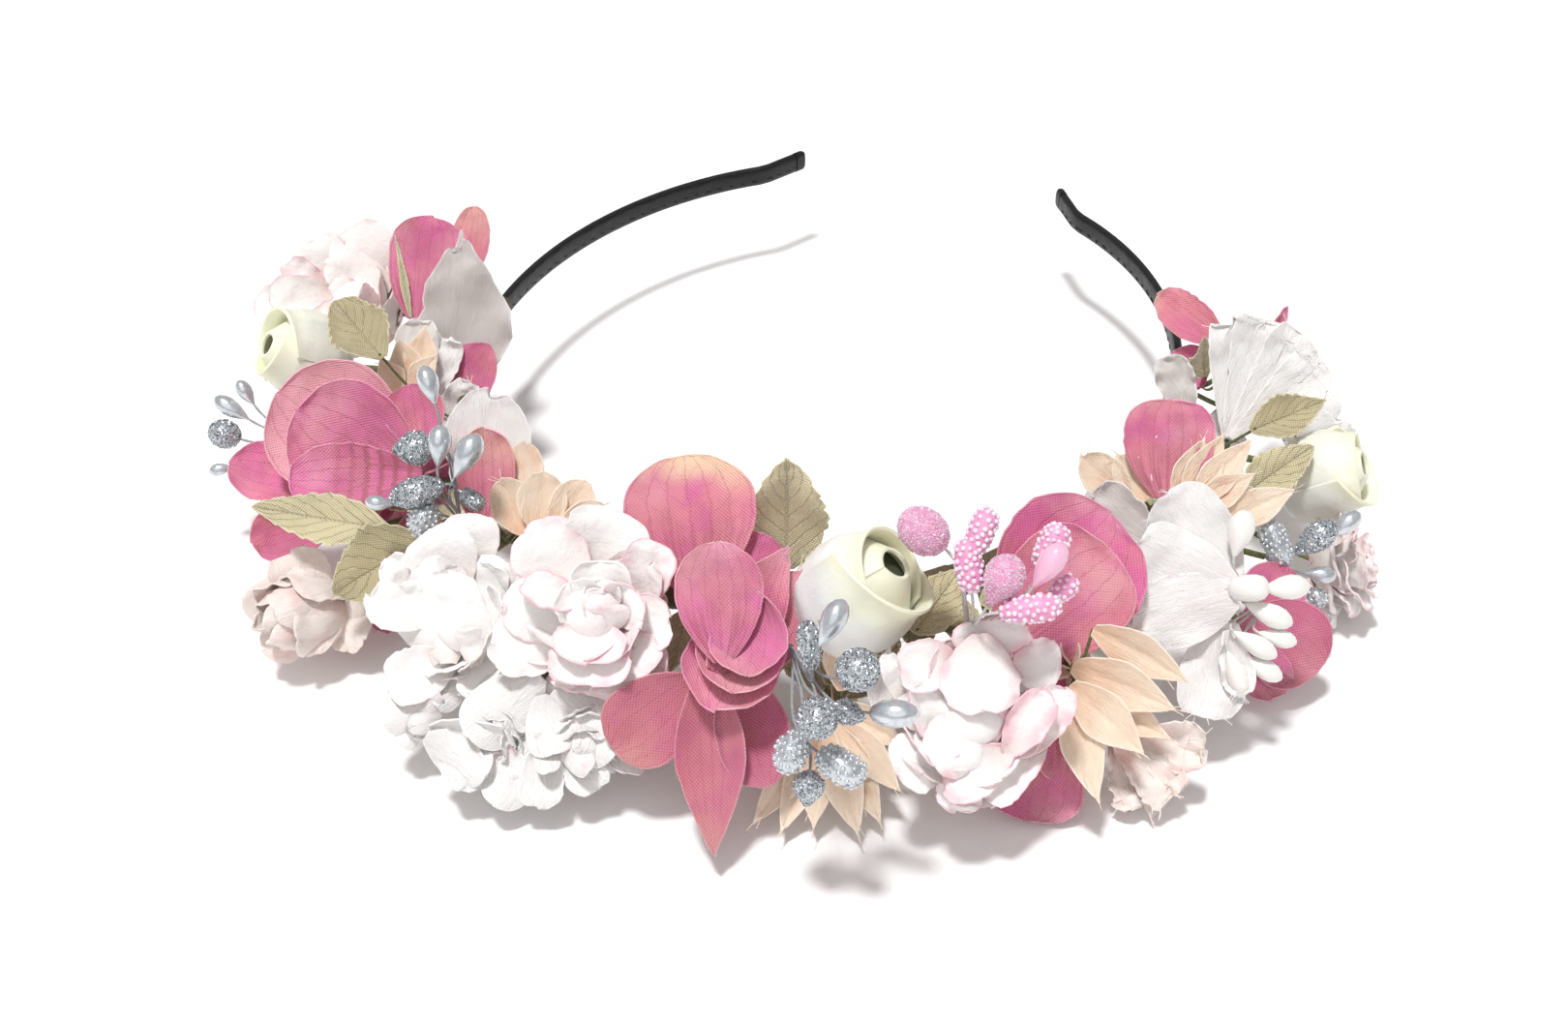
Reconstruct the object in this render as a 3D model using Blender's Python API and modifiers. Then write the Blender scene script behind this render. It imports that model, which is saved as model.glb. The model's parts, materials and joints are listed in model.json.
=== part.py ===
"""Flower crown: a ribbon-covered spring band with wired paper, foam and cloth flowers.

The band lies flat. Its closed front faces -Y and its open ends face +Y. Every place on
the crown is given by a station, an outward reach and a height:
station  degrees round the band from the middle of its front, positive towards +X
outward  millimetres from the band's centre line, positive away from the head
height   millimetres above the lowest flower
"""

import math
from typing import NamedTuple

import bmesh
import bpy
from mathutils import Matrix, Vector

MM = 0.001
CROWN_NAME = "flower_crown"

# Band: an open oval of spring strip in a sewn ribbon sleeve.
BAND_HALF_WIDTH = 67.0
BAND_HALF_DEPTH = 80.0
BAND_HEIGHT = 20.0
ARM_END = 147.0
STATION_STEP = 7.0
FLARE_LENGTH = 10.0
FLARE_ANGLE = 22.0
STRIP_WIDTH = 3.0
STRIP_THICKNESS = 0.7
RIBBON_CLEARANCE = 0.2
RIBBON_THICKNESS = 0.45
TIP_LENGTH = 3.0
BINDING_START = -88.0
BINDING_END = 103.0
BINDING_HALF_WIDTH = 1.9
BINDING_HALF_HEIGHT = 3.1

# Clearance between neighbouring flowers, and the turned shapes' resolution.
GAP = 0.3
TURN_STEPS = 12
STEM_RADIUS = 0.7
STALK_RADIUS = 0.55
PLATE_THICKNESS = 0.9
PLATE_SIDE_POINTS = 4

# Turned outlines from top to bottom: radius and height as parts of the flower's radius.
OUTLINES = {
    "paper_rose": ((0, 0.72), (0.6, 0.62), (0.93, 0.3), (1, -0.1), (0.8, -0.5), (0, -0.75)),
    "foam_bud": ((0, 1.35), (0.62, 1.3), (0.92, 0.7), (1, 0), (0.8, -0.7), (0, -1.2)),
    "peony_bud": ((0, 1.0), (0.6, 0.9), (0.95, 0.4), (1, -0.1), (0.7, -0.7), (0, -0.95)),
    "blossom": ((0, 0.7), (0.7, 0.7), (1, 0.4), (0.85, -0.2), (0.4, -0.8), (0, -0.85)),
    "satin_blossom": ((0, 0.7), (0.6, 0.72), (1, 0.5), (0.9, 0), (0.45, -0.8), (0, -0.9)),
    "pointed_flower": ((0, 0.35), (0.55, 0.42), (1, 0.25), (0.85, 0), (0.3, -0.45), (0, -0.5)),
    "bloom": ((0, 0.1), (0.6, 0.16), (1, 0.1), (0.97, -0.06), (0.4, -0.14), (0, -0.2)),
}
# Petal lobes round a turned shape: how many, and how deep as a part of the radius.
LOBES = {"paper_rose": (6, 0.05), "bloom": (4, 0.12), "pointed_flower": (6, 0.08)}


class Finish(NamedTuple):
    """Colour, roughness and metallic value of one material."""

    colour: tuple
    roughness: float
    metallic: float = 0.0


FINISHES = {
    "spring_steel": Finish((0.45, 0.46, 0.48), 0.35, 1.0),
    "black_satin": Finish((0.012, 0.012, 0.015), 0.4),
    "floral_tape": Finish((0.10, 0.075, 0.045), 0.8),
    "stem_wire": Finish((0.22, 0.26, 0.14), 0.7),
    "rose_paper": Finish((0.93, 0.88, 0.87), 0.75),
    "ivory_foam": Finish((0.90, 0.89, 0.76), 0.55),
    "blush_cloth": Finish((0.93, 0.80, 0.74), 0.6),
    "white_cloth": Finish((0.92, 0.92, 0.90), 0.65),
    "pink_cloth": Finish((0.78, 0.24, 0.40), 0.6),
    "peach_cloth": Finish((0.94, 0.72, 0.52), 0.7),
    "khaki_satin": Finish((0.36, 0.30, 0.14), 0.45),
    "silver_bead": Finish((0.55, 0.58, 0.62), 0.3, 0.7),
    "pink_bead": Finish((0.90, 0.45, 0.62), 0.35),
    "white_bead": Finish((0.93, 0.93, 0.91), 0.3),
}


class Spot(NamedTuple):
    """A place on the crown."""

    station: float
    outward: float
    height: float


class Head(NamedTuple):
    """One flower: its turned kind, finish, middle, radius and the way it faces.

    yaw turns the facing from straight outward towards rising stations, and rise lifts it.
    """

    name: str
    kind: str
    finish: str
    spot: Spot
    radius: float
    yaw: float = 0.0
    rise: float = 40.0


class Plate(NamedTuple):
    """One leaf or loose petal: a flat plate from its base to its tip."""

    name: str
    finish: str
    base: Spot
    tip: Spot
    width: float
    yaw: float = 0.0
    rise: float = 50.0


class Spray(NamedTuple):
    """One bunch of wired drops that spread from a common base."""

    name: str
    finish: str
    base: Spot
    tips: tuple
    drop_radius: float


# Full flowers. Neighbours among them share the room between their middles.
HEADS = (
    Head("paper_rose_back_left", "paper_rose", "rose_paper", Spot(-80, 28, 25), 14, 0, 45),
    Head("foam_bud_back_left", "foam_bud", "ivory_foam", Spot(-68, 32, 24), 7.5, 10, 5),
    Head("blossom_back_left", "blossom", "white_cloth", Spot(-76, 8, 12), 11.5, 0, -30),
    Head("peony_bud_left", "peony_bud", "blush_cloth", Spot(-36, 38, 11), 10, 5, 15),
    Head("white_rose_left", "paper_rose", "rose_paper", Spot(-18, 27, 24), 13.5, -10, 50),
    Head("paper_rose_left", "paper_rose", "rose_paper", Spot(-5, 21, 32), 14, 10, 55),
    Head("blossom_front_right", "blossom", "white_cloth", Spot(-3, 32, 10.8), 10.5, 15, 0),
    Head("blossom_front_left", "blossom", "white_cloth", Spot(-11, 37, 12), 9, -10, 10),
    Head("blossom_front_far", "blossom", "white_cloth", Spot(-17.5, 39.5, 9.5), 6, -20, 10),
    Head("foam_bud_front", "foam_bud", "ivory_foam", Spot(22, 15, 34), 9, 40, 35),
    Head("pointed_flower_front", "pointed_flower", "peach_cloth", Spot(18, 24, 13.7), 13, 0, -5),
    Head("paper_rose_right", "paper_rose", "rose_paper", Spot(30, 35, 24), 14.5, 0, 50),
    Head("pointed_flower_right", "pointed_flower", "peach_cloth", Spot(42, 35, 20), 14, 30, 10),
    Head("torn_blossom_right", "blossom", "blush_cloth", Spot(44.5, 40, 8), 8, 15, -5),
    Head("satin_blossom_right", "satin_blossom", "white_cloth", Spot(52, 27, 26), 14, 40, 30),
    Head("pointed_flower_back_right", "pointed_flower", "peach_cloth", Spot(65, 14, 32), 12, 40, 60),
    Head("satin_blossom_back_right", "satin_blossom", "white_cloth", Spot(87, 15, 34), 9.5, 30, 55),
    Head("foam_bud_right", "foam_bud", "ivory_foam", Spot(83, 30, 20), 7.5, 5, 10),
    Head("blossom_back_right", "blossom", "white_cloth", Spot(97, 27, 14), 8, 20, 20),
    Head("paper_rose_far_right", "paper_rose", "rose_paper", Spot(77, 38, 9), 9, 10, 10),
    Head("pointed_flower_left", "pointed_flower", "peach_cloth", Spot(-19.5, 6, 31), 9.5, 0, 70),
    Head("pointed_flower_back_left", "pointed_flower", "peach_cloth", Spot(-62, 12, 28), 7, 0, 60),
)

# Wired bunches of drops.
SPRAYS = (
    Spray("silver_spray_far_left", "silver_bead", Spot(-54, 30, 22), (
        Spot(-59, 40, 28), Spot(-58.5, 43, 25), Spot(-58, 45, 21), Spot(-56.5, 45, 16)), 1.6),
    Spray("silver_spray_left", "silver_bead", Spot(-28.5, 13, 27), (
        Spot(-33, 12, 50), Spot(-27, 16, 44), Spot(-24, 14, 44), Spot(-29.5, 25, 37),
        Spot(-31, 19, 42), Spot(-24, 11, 37)), 2.2),
    Spray("silver_spray_front", "silver_bead", Spot(15, 23, 30), (
        Spot(16, 36, 44), Spot(19.5, 44, 43), Spot(22, 44, 36), Spot(17, 47, 37),
        Spot(15.5, 46, 24), Spot(18.5, 47, 28)), 2.4),
    Spray("pink_spray_right", "pink_bead", Spot(32, 22, 29), (
        Spot(27.5, 18, 46), Spot(30.5, 26, 51), Spot(32, 32, 46), Spot(36, 32, 48),
        Spot(35, 36, 42)), 2.6),
    Spray("white_spray_right", "white_bead", Spot(60, 36, 22), (
        Spot(59, 32, 35), Spot(62, 43, 30), Spot(61.5, 45, 25), Spot(59.5, 45, 20),
        Spot(56.5, 44, 16)), 1.9),
    Spray("silver_spray_right", "silver_bead", Spot(71, 27, 15), (
        Spot(68.5, 31, 23), Spot(70.5, 36, 24), Spot(75, 36, 24)), 2.0),
)

# Layered cloth blooms. Each gives way to the flowers in front of it.
BLOOMS = (
    Head("cloth_bloom_back_left", "bloom", "pink_cloth", Spot(-73, 6, 38), 12, 60, 20),
    Head("cloth_bloom_left_upper", "bloom", "pink_cloth", Spot(-46, 23, 33), 16, 0, 60),
    Head("cloth_bloom_left_lower", "bloom", "pink_cloth", Spot(-46, 25, 16), 15, 0, 30),
    Head("cloth_bloom_inner_left", "bloom", "pink_cloth", Spot(-29, 2, 34), 10, 20, 10),
    Head("cloth_bloom_front_middle", "bloom", "pink_cloth", Spot(9, 22, 37), 10, 10, 40),
    Head("cloth_bloom_front_upper", "bloom", "pink_cloth", Spot(4.5, 8, 38), 14, 5, 35),
    Head("cloth_bloom_front_lower", "bloom", "pink_cloth", Spot(8, 30, 16.5), 16, 5, 15),
    Head("cloth_bloom_right_upper", "bloom", "pink_cloth", Spot(41, 19, 33), 15, -5, 50),
    Head("cloth_bloom_right_lower", "bloom", "pink_cloth", Spot(36.5, 28, 13), 13, 10, 20),
    Head("cloth_bloom_far_right", "bloom", "pink_cloth", Spot(64, 36, 13), 12, 0, 45),
    Head("cloth_bloom_back_right", "bloom", "pink_cloth", Spot(65, 8, 39), 8.5, -50, 20),
    Head("cloth_bloom_end_right", "bloom", "pink_cloth", Spot(99, 5, 28), 9, 0, 60),
)

# Leaves and single petals.
PLATES = (
    Plate("leaf_back_left", "khaki_satin", Spot(-58, 14, 34), Spot(-66, 23, 39), 12, 10, 60),
    Plate("satin_petal_back_left", "white_cloth", Spot(-66, -2, 22), Spot(-71, -1, 46), 14, 60, 10),
    Plate("leaf_left_upper", "khaki_satin", Spot(-32, 24, 27), Spot(-42, 41, 26), 9, 0, 60),
    Plate("leaf_left_lower", "khaki_satin", Spot(-29, 22, 24), Spot(-32, 35, 19), 9, 0, 45),
    Plate("leaf_front", "khaki_satin", Spot(14.5, 1, 28), Spot(14.5, 1, 50), 13, 20, 15),
    Plate("leaf_bud_right", "khaki_satin", Spot(28, 16, 25), Spot(35, 9, 30), 8, 0, 60),
    Plate("satin_petal_end_right", "white_cloth", Spot(86, 4, 24), Spot(89, -2, 32), 7, 20, 20),
    Plate("leaf_right_upper", "khaki_satin", Spot(80, 17, 29), Spot(86.5, 27, 31), 8, 10, 60),
    Plate("leaf_right_lower", "khaki_satin", Spot(73, 20, 23), Spot(80, 28, 29), 8, 0, 55),
    Plate("leaf_end_right", "khaki_satin", Spot(97, 5, 22), Spot(91.5, 4, 35), 6, 20, 20),
)

# Wire stems of the flowers that stand well away from the band.
STEMMED = (
    "paper_rose_back_left",
    "foam_bud_back_left",
    "peony_bud_left",
    "paper_rose_right",
    "foam_bud_right",
)


def clear_scene():
    """Removes what the scene holds."""
    for old in list(bpy.data.objects):
        bpy.data.objects.remove(old, do_unlink=True)


def new_collection(name):
    """A collection under the scene's own."""
    collection = bpy.data.collections.new(name)
    bpy.context.scene.collection.children.link(collection)
    return collection


def new_material(name, finish):
    """A Principled BSDF material for one finish."""
    material = bpy.data.materials.new(name)
    material.use_nodes = True
    shader = material.node_tree.nodes["Principled BSDF"]
    shader.inputs["Base Color"].default_value = (*finish.colour, 1.0)
    shader.inputs["Roughness"].default_value = finish.roughness
    shader.inputs["Metallic"].default_value = finish.metallic
    return material


def band_axes(station):
    """Unit vectors along the band and outward from it, at a station in degrees."""
    angle = math.radians(station)
    along = Vector((BAND_HALF_WIDTH * math.cos(angle), BAND_HALF_DEPTH * math.sin(angle), 0))
    along.normalize()
    return along, Vector((along.y, -along.x, 0))


def place(spot):
    """The point, in metres, that a spot names."""
    angle = math.radians(spot.station)
    middle = Vector((BAND_HALF_WIDTH * math.sin(angle), -BAND_HALF_DEPTH * math.cos(angle), 0))
    outward = band_axes(spot.station)[1]
    return (middle + outward * spot.outward + Vector((0, 0, spot.height))) * MM


def facing(station, yaw, rise):
    """Unit vector turned by yaw from outward towards along, and lifted by rise."""
    along, outward = band_axes(station)
    turn = math.radians(yaw)
    lift = math.radians(rise)
    level = outward * math.cos(turn) + along * math.sin(turn)
    return level * math.cos(lift) + Vector((0, 0, math.sin(lift)))


def frame_at(point, normal, lengthwise):
    """Matrix whose Z is the normal and whose Y follows the lengthwise direction."""
    z_axis = normal.normalized()
    x_axis = lengthwise.cross(z_axis).normalized()
    y_axis = z_axis.cross(x_axis)
    turn = Matrix((x_axis, y_axis, z_axis)).transposed().to_4x4()
    return Matrix.Translation(point) @ turn


class Workshop:
    """Holds the crown's collections and materials, and makes its objects."""

    def __init__(self):
        self.parts = new_collection(CROWN_NAME)
        self.cutters = new_collection("cutters")
        self.materials = {name: new_material(name, look) for name, look in FINISHES.items()}
        self.root = bpy.data.objects.new("crown_origin", None)
        self.parts.objects.link(self.root)

    def add(self, name, mesh, finish, matrix=None):
        """Adds a part with its finish, as a child of the crown's origin."""
        part = bpy.data.objects.new(name, mesh)
        mesh.materials.clear()
        mesh.materials.append(self.materials[finish])
        self.parts.objects.link(part)
        part.parent = self.root
        if matrix is not None:
            part.matrix_world = matrix
        bpy.context.view_layer.update()
        return part

    def helper(self, name, data):
        """Adds a cutter, which is never part of the crown."""
        tool = bpy.data.objects.new(name, data)
        self.cutters.objects.link(tool)
        tool.hide_render = True
        tool.display_type = "WIRE"
        bpy.context.view_layer.update()
        return tool

    def discard(self, tool):
        """Removes a helper that has done its work."""
        bpy.data.objects.remove(tool, do_unlink=True)


def evaluated_mesh(tool):
    """The mesh of an object with its modifiers applied and its doubles merged."""
    bpy.context.view_layer.update()
    graph = bpy.context.evaluated_depsgraph_get()
    mesh = bpy.data.meshes.new_from_object(tool.evaluated_get(graph))
    cage = bmesh.new()
    cage.from_mesh(mesh)
    bmesh.ops.remove_doubles(cage, verts=cage.verts, dist=0.01 * MM)
    cage.to_mesh(mesh)
    cage.free()
    return mesh


def turned_mesh(shop, outline, radius):
    """A solid of revolution about Z from an outline of radius and height fractions."""
    profile = bpy.data.meshes.new("outline")
    points = [(x * radius * MM, 0, z * radius * MM) for x, z in outline]
    profile.from_pydata(points, [(i, i + 1) for i in range(len(points) - 1)], [])
    tool = shop.helper("outline", profile)
    screw = tool.modifiers.new("turn", "SCREW")
    screw.steps = TURN_STEPS
    screw.render_steps = TURN_STEPS
    screw.use_merge_vertices = True
    screw.merge_threshold = 0.0001
    mesh = evaluated_mesh(tool)
    shop.discard(tool)
    return mesh


def push_lobes(mesh, kind):
    """Draws the rim of a turned flower in between its petals."""
    count, depth = LOBES.get(kind, (0, 0.0))
    for vertex in mesh.vertices:
        angle = math.atan2(vertex.co.y, vertex.co.x)
        factor = 1 + depth * math.cos(count * angle)
        vertex.co.x *= factor
        vertex.co.y *= factor


def outline_points(centre_line, half_width):
    """A closed outline that keeps half_width to both sides of a centre line."""
    outer = [point + outward * half_width for point, outward in centre_line]
    inner = [point - outward * half_width for point, outward in centre_line]
    return outer + inner[::-1]


def band_line(start, end, overhang=0.0):
    """Centre line points and outward vectors between two stations, in millimetres.

    overhang lengthens the line at both ends along the direction that it ends in.
    """
    count = round((end - start) / STATION_STEP)
    stations = [start + (end - start) * i / count for i in range(count + 1)]
    line = []
    for station in stations:
        along, outward = band_axes(station)
        line.append((place(Spot(station, 0, 0)) / MM, outward))
    if overhang:
        for index, side in ((0, -1), (-1, 1)):
            point, outward = line[index]
            ahead = Vector((-outward.y, outward.x, 0)) * side
            line.insert(0 if side < 0 else len(line), (point + ahead * overhang, outward))
    return line


def arm_line(reach):
    """The whole band's centre line with both ends flared outward by reach millimetres."""
    line = band_line(-ARM_END, ARM_END)
    for index, side in ((0, -1), (-1, 1)):
        point, outward = line[index]
        ahead = Vector((-outward.y, outward.x, 0)) * side
        turn = Matrix.Rotation(math.radians(-side * FLARE_ANGLE), 3, "Z")
        end = point + (turn @ ahead) * reach
        line.insert(0 if side < 0 else len(line), (end, turn @ outward))
    return line


def ribbon_of_curve(shop, name, line, half_width, half_height):
    """A flat outline along a line, extruded up and down, as a mesh in the band's plane."""
    curve = bpy.data.curves.new(name, "CURVE")
    curve.dimensions = "2D"
    curve.fill_mode = "BOTH"
    curve.extrude = half_height * MM
    spline = curve.splines.new("POLY")
    points = outline_points(line, half_width)
    spline.points.add(len(points) - 1)
    for control, point in zip(spline.points, points):
        control.co = (point.x * MM, point.y * MM, 0, 1)
    spline.use_cyclic_u = True
    tool = shop.helper(name, curve)
    tool.location.z = BAND_HEIGHT * MM
    mesh = evaluated_mesh(tool)
    mesh.transform(Matrix.Translation((0, 0, BAND_HEIGHT * MM)))
    shop.discard(tool)
    return mesh


def cut(shop, mesh, cutter_mesh):
    """The mesh less the cutter, by an exact Boolean."""
    body = shop.helper("body", mesh)
    cutter = shop.helper("cutter", cutter_mesh)
    boolean = body.modifiers.new("cut", "BOOLEAN")
    boolean.operation = "DIFFERENCE"
    boolean.solver = "EXACT"
    boolean.use_self = True
    boolean.object = cutter
    result = evaluated_mesh(body)
    shop.discard(body)
    shop.discard(cutter)
    return result


def join(shop, meshes):
    """One mesh that is the union of several, by exact Booleans."""
    result = meshes[0]
    for other in meshes[1:]:
        body = shop.helper("body", result)
        cutter = shop.helper("cutter", other)
        boolean = body.modifiers.new("join", "BOOLEAN")
        boolean.operation = "UNION"
        boolean.solver = "EXACT"
        boolean.object = cutter
        result = evaluated_mesh(body)
        shop.discard(body)
        shop.discard(cutter)
    return result


def islands(cage):
    """The connected bodies of a bmesh, each as a set of faces."""
    left = set(cage.faces)
    found = []
    while left:
        body = set()
        queue = [left.pop()]
        while queue:
            face = queue.pop()
            body.add(face)
            for edge in face.edges:
                for other in edge.link_faces:
                    if other in left:
                        left.remove(other)
                        queue.append(other)
        found.append(body)
    return found


def body_volume(faces):
    """The volume that a closed set of faces holds."""
    total = 0.0
    for face in faces:
        corners = [vertex.co for vertex in face.verts]
        for second, third in zip(corners[1:], corners[2:]):
            total += corners[0].dot(second.cross(third)) / 6
    return total


def keep_largest_body(mesh):
    """Deletes the small offcuts that a cut leaves beside the main body."""
    cage = bmesh.new()
    cage.from_mesh(mesh)
    bodies = sorted(islands(cage), key=body_volume, reverse=True)
    offcuts = [face for body in bodies[1:] for face in body]
    bmesh.ops.delete(cage, geom=offcuts, context="FACES")
    bmesh.ops.dissolve_degenerate(cage, edges=cage.edges, dist=0.002 * MM)
    cage.to_mesh(mesh)
    cage.free()


def swollen(mesh, amount):
    """A copy of a mesh whose surface stands outward by amount millimetres."""
    copy = mesh.copy()
    copy.update()
    normals = [Vector(vertex.normal) for vertex in copy.vertices]
    for vertex, normal in zip(copy.vertices, normals):
        vertex.co += normal * amount * MM
    return copy


def near(first, second):
    """True where the boxes of two meshes meet."""
    for axis in range(3):
        first_span = [vertex.co[axis] for vertex in first.vertices]
        second_span = [vertex.co[axis] for vertex in second.vertices]
        if min(first_span) > max(second_span) or min(second_span) > max(first_span):
            return False
    return True


def trimmed(shop, mesh, cutters):
    """The mesh cut back by each cutter that it meets, without the offcuts."""
    for cutter in cutters:
        if near(mesh, cutter):
            mesh = cut(shop, mesh, cutter.copy())
    keep_largest_body(mesh)
    return mesh


def reach(mesh, middle, direction):
    """How far a mesh extends from its middle in a direction."""
    return max((vertex.co - middle).dot(direction) for vertex in mesh.vertices)


def slice_off(mesh, point, normal):
    """Cuts a mesh flat at a plane and drops what lies on the normal's side."""
    cage = bmesh.new()
    cage.from_mesh(mesh)
    geometry = list(cage.verts) + list(cage.edges) + list(cage.faces)
    outcome = bmesh.ops.bisect_plane(
        cage, geom=geometry, dist=0.001 * MM, plane_co=point, plane_no=normal, clear_outer=True
    )
    rim = [item for item in outcome["geom_cut"] if isinstance(item, bmesh.types.BMEdge)]
    bmesh.ops.holes_fill(cage, edges=rim, sides=0)
    bmesh.ops.recalc_face_normals(cage, faces=cage.faces)
    cage.to_mesh(mesh)
    cage.free()


def head_matrix(head):
    """Where a flower sits and how it is turned."""
    axis = facing(head.spot.station, head.yaw, head.rise)
    along = band_axes(head.spot.station)[0]
    return frame_at(place(head.spot), axis, along)


def head_mesh(shop, head):
    """A flower's turned solid with its petal lobes, in place."""
    mesh = turned_mesh(shop, OUTLINES[head.kind], head.radius)
    push_lobes(mesh, head.kind)
    mesh.transform(head_matrix(head))
    return mesh


def clear_of_band(mesh, spot):
    """Cuts a flower flat where it would run into the bound stems on the band."""
    middle = place(spot)
    core = place(Spot(spot.station, 0, BAND_HEIGHT))
    direction = (core - middle).normalized()
    outward = band_axes(spot.station)[1]
    half = BINDING_HALF_WIDTH * abs(direction.dot(outward)) + BINDING_HALF_HEIGHT * abs(direction.z)
    slice_off(mesh, core - direction * (half + 2 * GAP) * MM, direction)


def separate(first, first_middle, second, second_middle):
    """Flattens two flowers against the plane that shares the room between them."""
    direction = second_middle - first_middle
    distance = direction.length
    direction.normalize()
    first_reach = reach(first, first_middle, direction)
    second_reach = reach(second, second_middle, -direction)
    if first_reach + second_reach + GAP * MM < distance:
        return
    share = distance * first_reach / (first_reach + second_reach)
    half_gap = 0.5 * GAP * MM
    slice_off(first, first_middle + direction * (share - half_gap), direction)
    slice_off(second, first_middle + direction * (share + half_gap), -direction)


def make_heads(shop):
    """All full flowers, flattened where they press on each other."""
    meshes = {head.name: head_mesh(shop, head) for head in HEADS}
    for head in HEADS:
        clear_of_band(meshes[head.name], head.spot)
    for index, first in enumerate(HEADS):
        for second in HEADS[index + 1:]:
            separate(
                meshes[first.name], place(first.spot), meshes[second.name], place(second.spot)
            )
    return meshes


def rod(start, end, radius, sides):
    """A straight round rod between two points."""
    cage = bmesh.new()
    bmesh.ops.create_cone(
        cage,
        cap_ends=True,
        segments=sides,
        radius1=radius * MM,
        radius2=radius * MM,
        depth=(end - start).length,
    )
    mesh = bpy.data.meshes.new("rod")
    cage.to_mesh(mesh)
    cage.free()
    turn = (end - start).to_track_quat("Z", "Y").to_matrix().to_4x4()
    mesh.transform(Matrix.Translation((start + end) / 2) @ turn)
    return mesh


def drop(tip, axis, radius):
    """A drop: a ball drawn out along its stalk."""
    cage = bmesh.new()
    bmesh.ops.create_uvsphere(cage, u_segments=7, v_segments=5, radius=radius * MM)
    mesh = bpy.data.meshes.new("drop")
    cage.to_mesh(mesh)
    cage.free()
    stretch = Matrix.Diagonal((1, 1, 1.5, 1))
    turn = axis.to_track_quat("Z", "Y").to_matrix().to_4x4()
    mesh.transform(Matrix.Translation(tip) @ turn @ stretch)
    return mesh


def spray_mesh(shop, spray, extra=0.0):
    """A bunch: a knot at the base, and a stalk with a drop to each tip.

    extra swells every radius, for the room that the bunch needs.
    """
    base = place(spray.base)
    knot = drop(base, Vector((0, 0, 1)), 2 * STALK_RADIUS + extra)
    pieces = [knot]
    for spot in spray.tips:
        tip = place(spot)
        pieces.append(rod(base, tip, STALK_RADIUS + extra, 5))
        pieces.append(drop(tip, (tip - base).normalized(), spray.drop_radius + extra))
    return join(shop, pieces)


def plate_mesh(shop, plate):
    """A leaf or petal: a flat outline, widest past its middle, with a rounded tip."""
    base = place(plate.base)
    tip = place(plate.tip)
    length = (tip - base).length
    curve = bpy.data.curves.new(plate.name, "CURVE")
    curve.dimensions = "2D"
    curve.fill_mode = "BOTH"
    curve.extrude = 0.5 * PLATE_THICKNESS * MM
    side = []
    for step in range(PLATE_SIDE_POINTS + 1):
        part = (step + 0.5) / (PLATE_SIDE_POINTS + 1)
        half = 0.5 * plate.width * MM * math.sin(math.pi * part) ** 0.7
        side.append((half, part * length))
    points = [(0, 0), *side, (0, length), *[(-x, y) for x, y in side[::-1]]]
    spline = curve.splines.new("POLY")
    spline.points.add(len(points) - 1)
    for control, (x, y) in zip(spline.points, points):
        control.co = (x, y, 0, 1)
    spline.use_cyclic_u = True
    tool = shop.helper(plate.name, curve)
    mesh = evaluated_mesh(tool)
    shop.discard(tool)
    looks = facing(plate.base.station, plate.yaw, plate.rise)
    axis = (tip - base).normalized()
    mesh.transform(frame_at(base, looks - axis * looks.dot(axis), axis))
    return mesh


def stem_mesh(head, extra=0.0):
    """A wire stem from the band's binding to the back of a flower."""
    middle = place(head.spot)
    core = place(Spot(head.spot.station, 0, BAND_HEIGHT))
    return rod(core, middle, STEM_RADIUS + extra, 6)


def sleeve(shop, name, line, long_line, half_width, half_height, bore_width, bore_height):
    """An open-ended sleeve along a line: a bar less a longer, thinner bar."""
    outside = ribbon_of_curve(shop, name, line, half_width, half_height)
    bore = ribbon_of_curve(shop, name, long_line, bore_width, bore_height)
    return cut(shop, outside, bore)


def make_band(shop):
    """The spring strip, the ribbon sleeve, its folded tips and the bound stems."""
    strip_half = STRIP_THICKNESS / 2
    strip_height = STRIP_WIDTH / 2
    bore_half = strip_half + RIBBON_CLEARANCE
    bore_height = strip_height + RIBBON_CLEARANCE
    ribbon_half = bore_half + RIBBON_THICKNESS
    ribbon_height = bore_height + RIBBON_THICKNESS
    line = arm_line(FLARE_LENGTH)
    long_line = arm_line(FLARE_LENGTH + 1)
    strip = ribbon_of_curve(shop, "spring_strip", line, strip_half, strip_height)
    ribbon = sleeve(
        shop, "ribbon_wrap", line, long_line, ribbon_half, ribbon_height, bore_half, bore_height
    )
    shop.add("spring_strip", strip, "spring_steel")
    shop.add("ribbon_wrap", ribbon, "black_satin")
    for name, end, before in (("ribbon_tip_left", 0, 1), ("ribbon_tip_right", -1, -2)):
        ahead = (line[end][0] - line[before][0]).normalized()
        start = line[end][0] + ahead * GAP
        finish = start + ahead * TIP_LENGTH
        outward = line[end][1]
        tip_line = [(start, outward), (finish, outward)]
        tip = ribbon_of_curve(shop, name, tip_line, ribbon_half, ribbon_height)
        shop.add(name, tip, "black_satin")
    zone = band_line(BINDING_START, BINDING_END)
    long_zone = band_line(BINDING_START, BINDING_END, 1.0)
    bore = ribbon_of_curve(
        shop, "binding_bore", long_zone, ribbon_half + GAP, ribbon_height + GAP
    )
    outside = ribbon_of_curve(
        shop, "stem_binding", zone, BINDING_HALF_WIDTH, BINDING_HALF_HEIGHT
    )
    shop.add("stem_binding", cut(shop, outside, bore), "floral_tape")
    return outside


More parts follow.
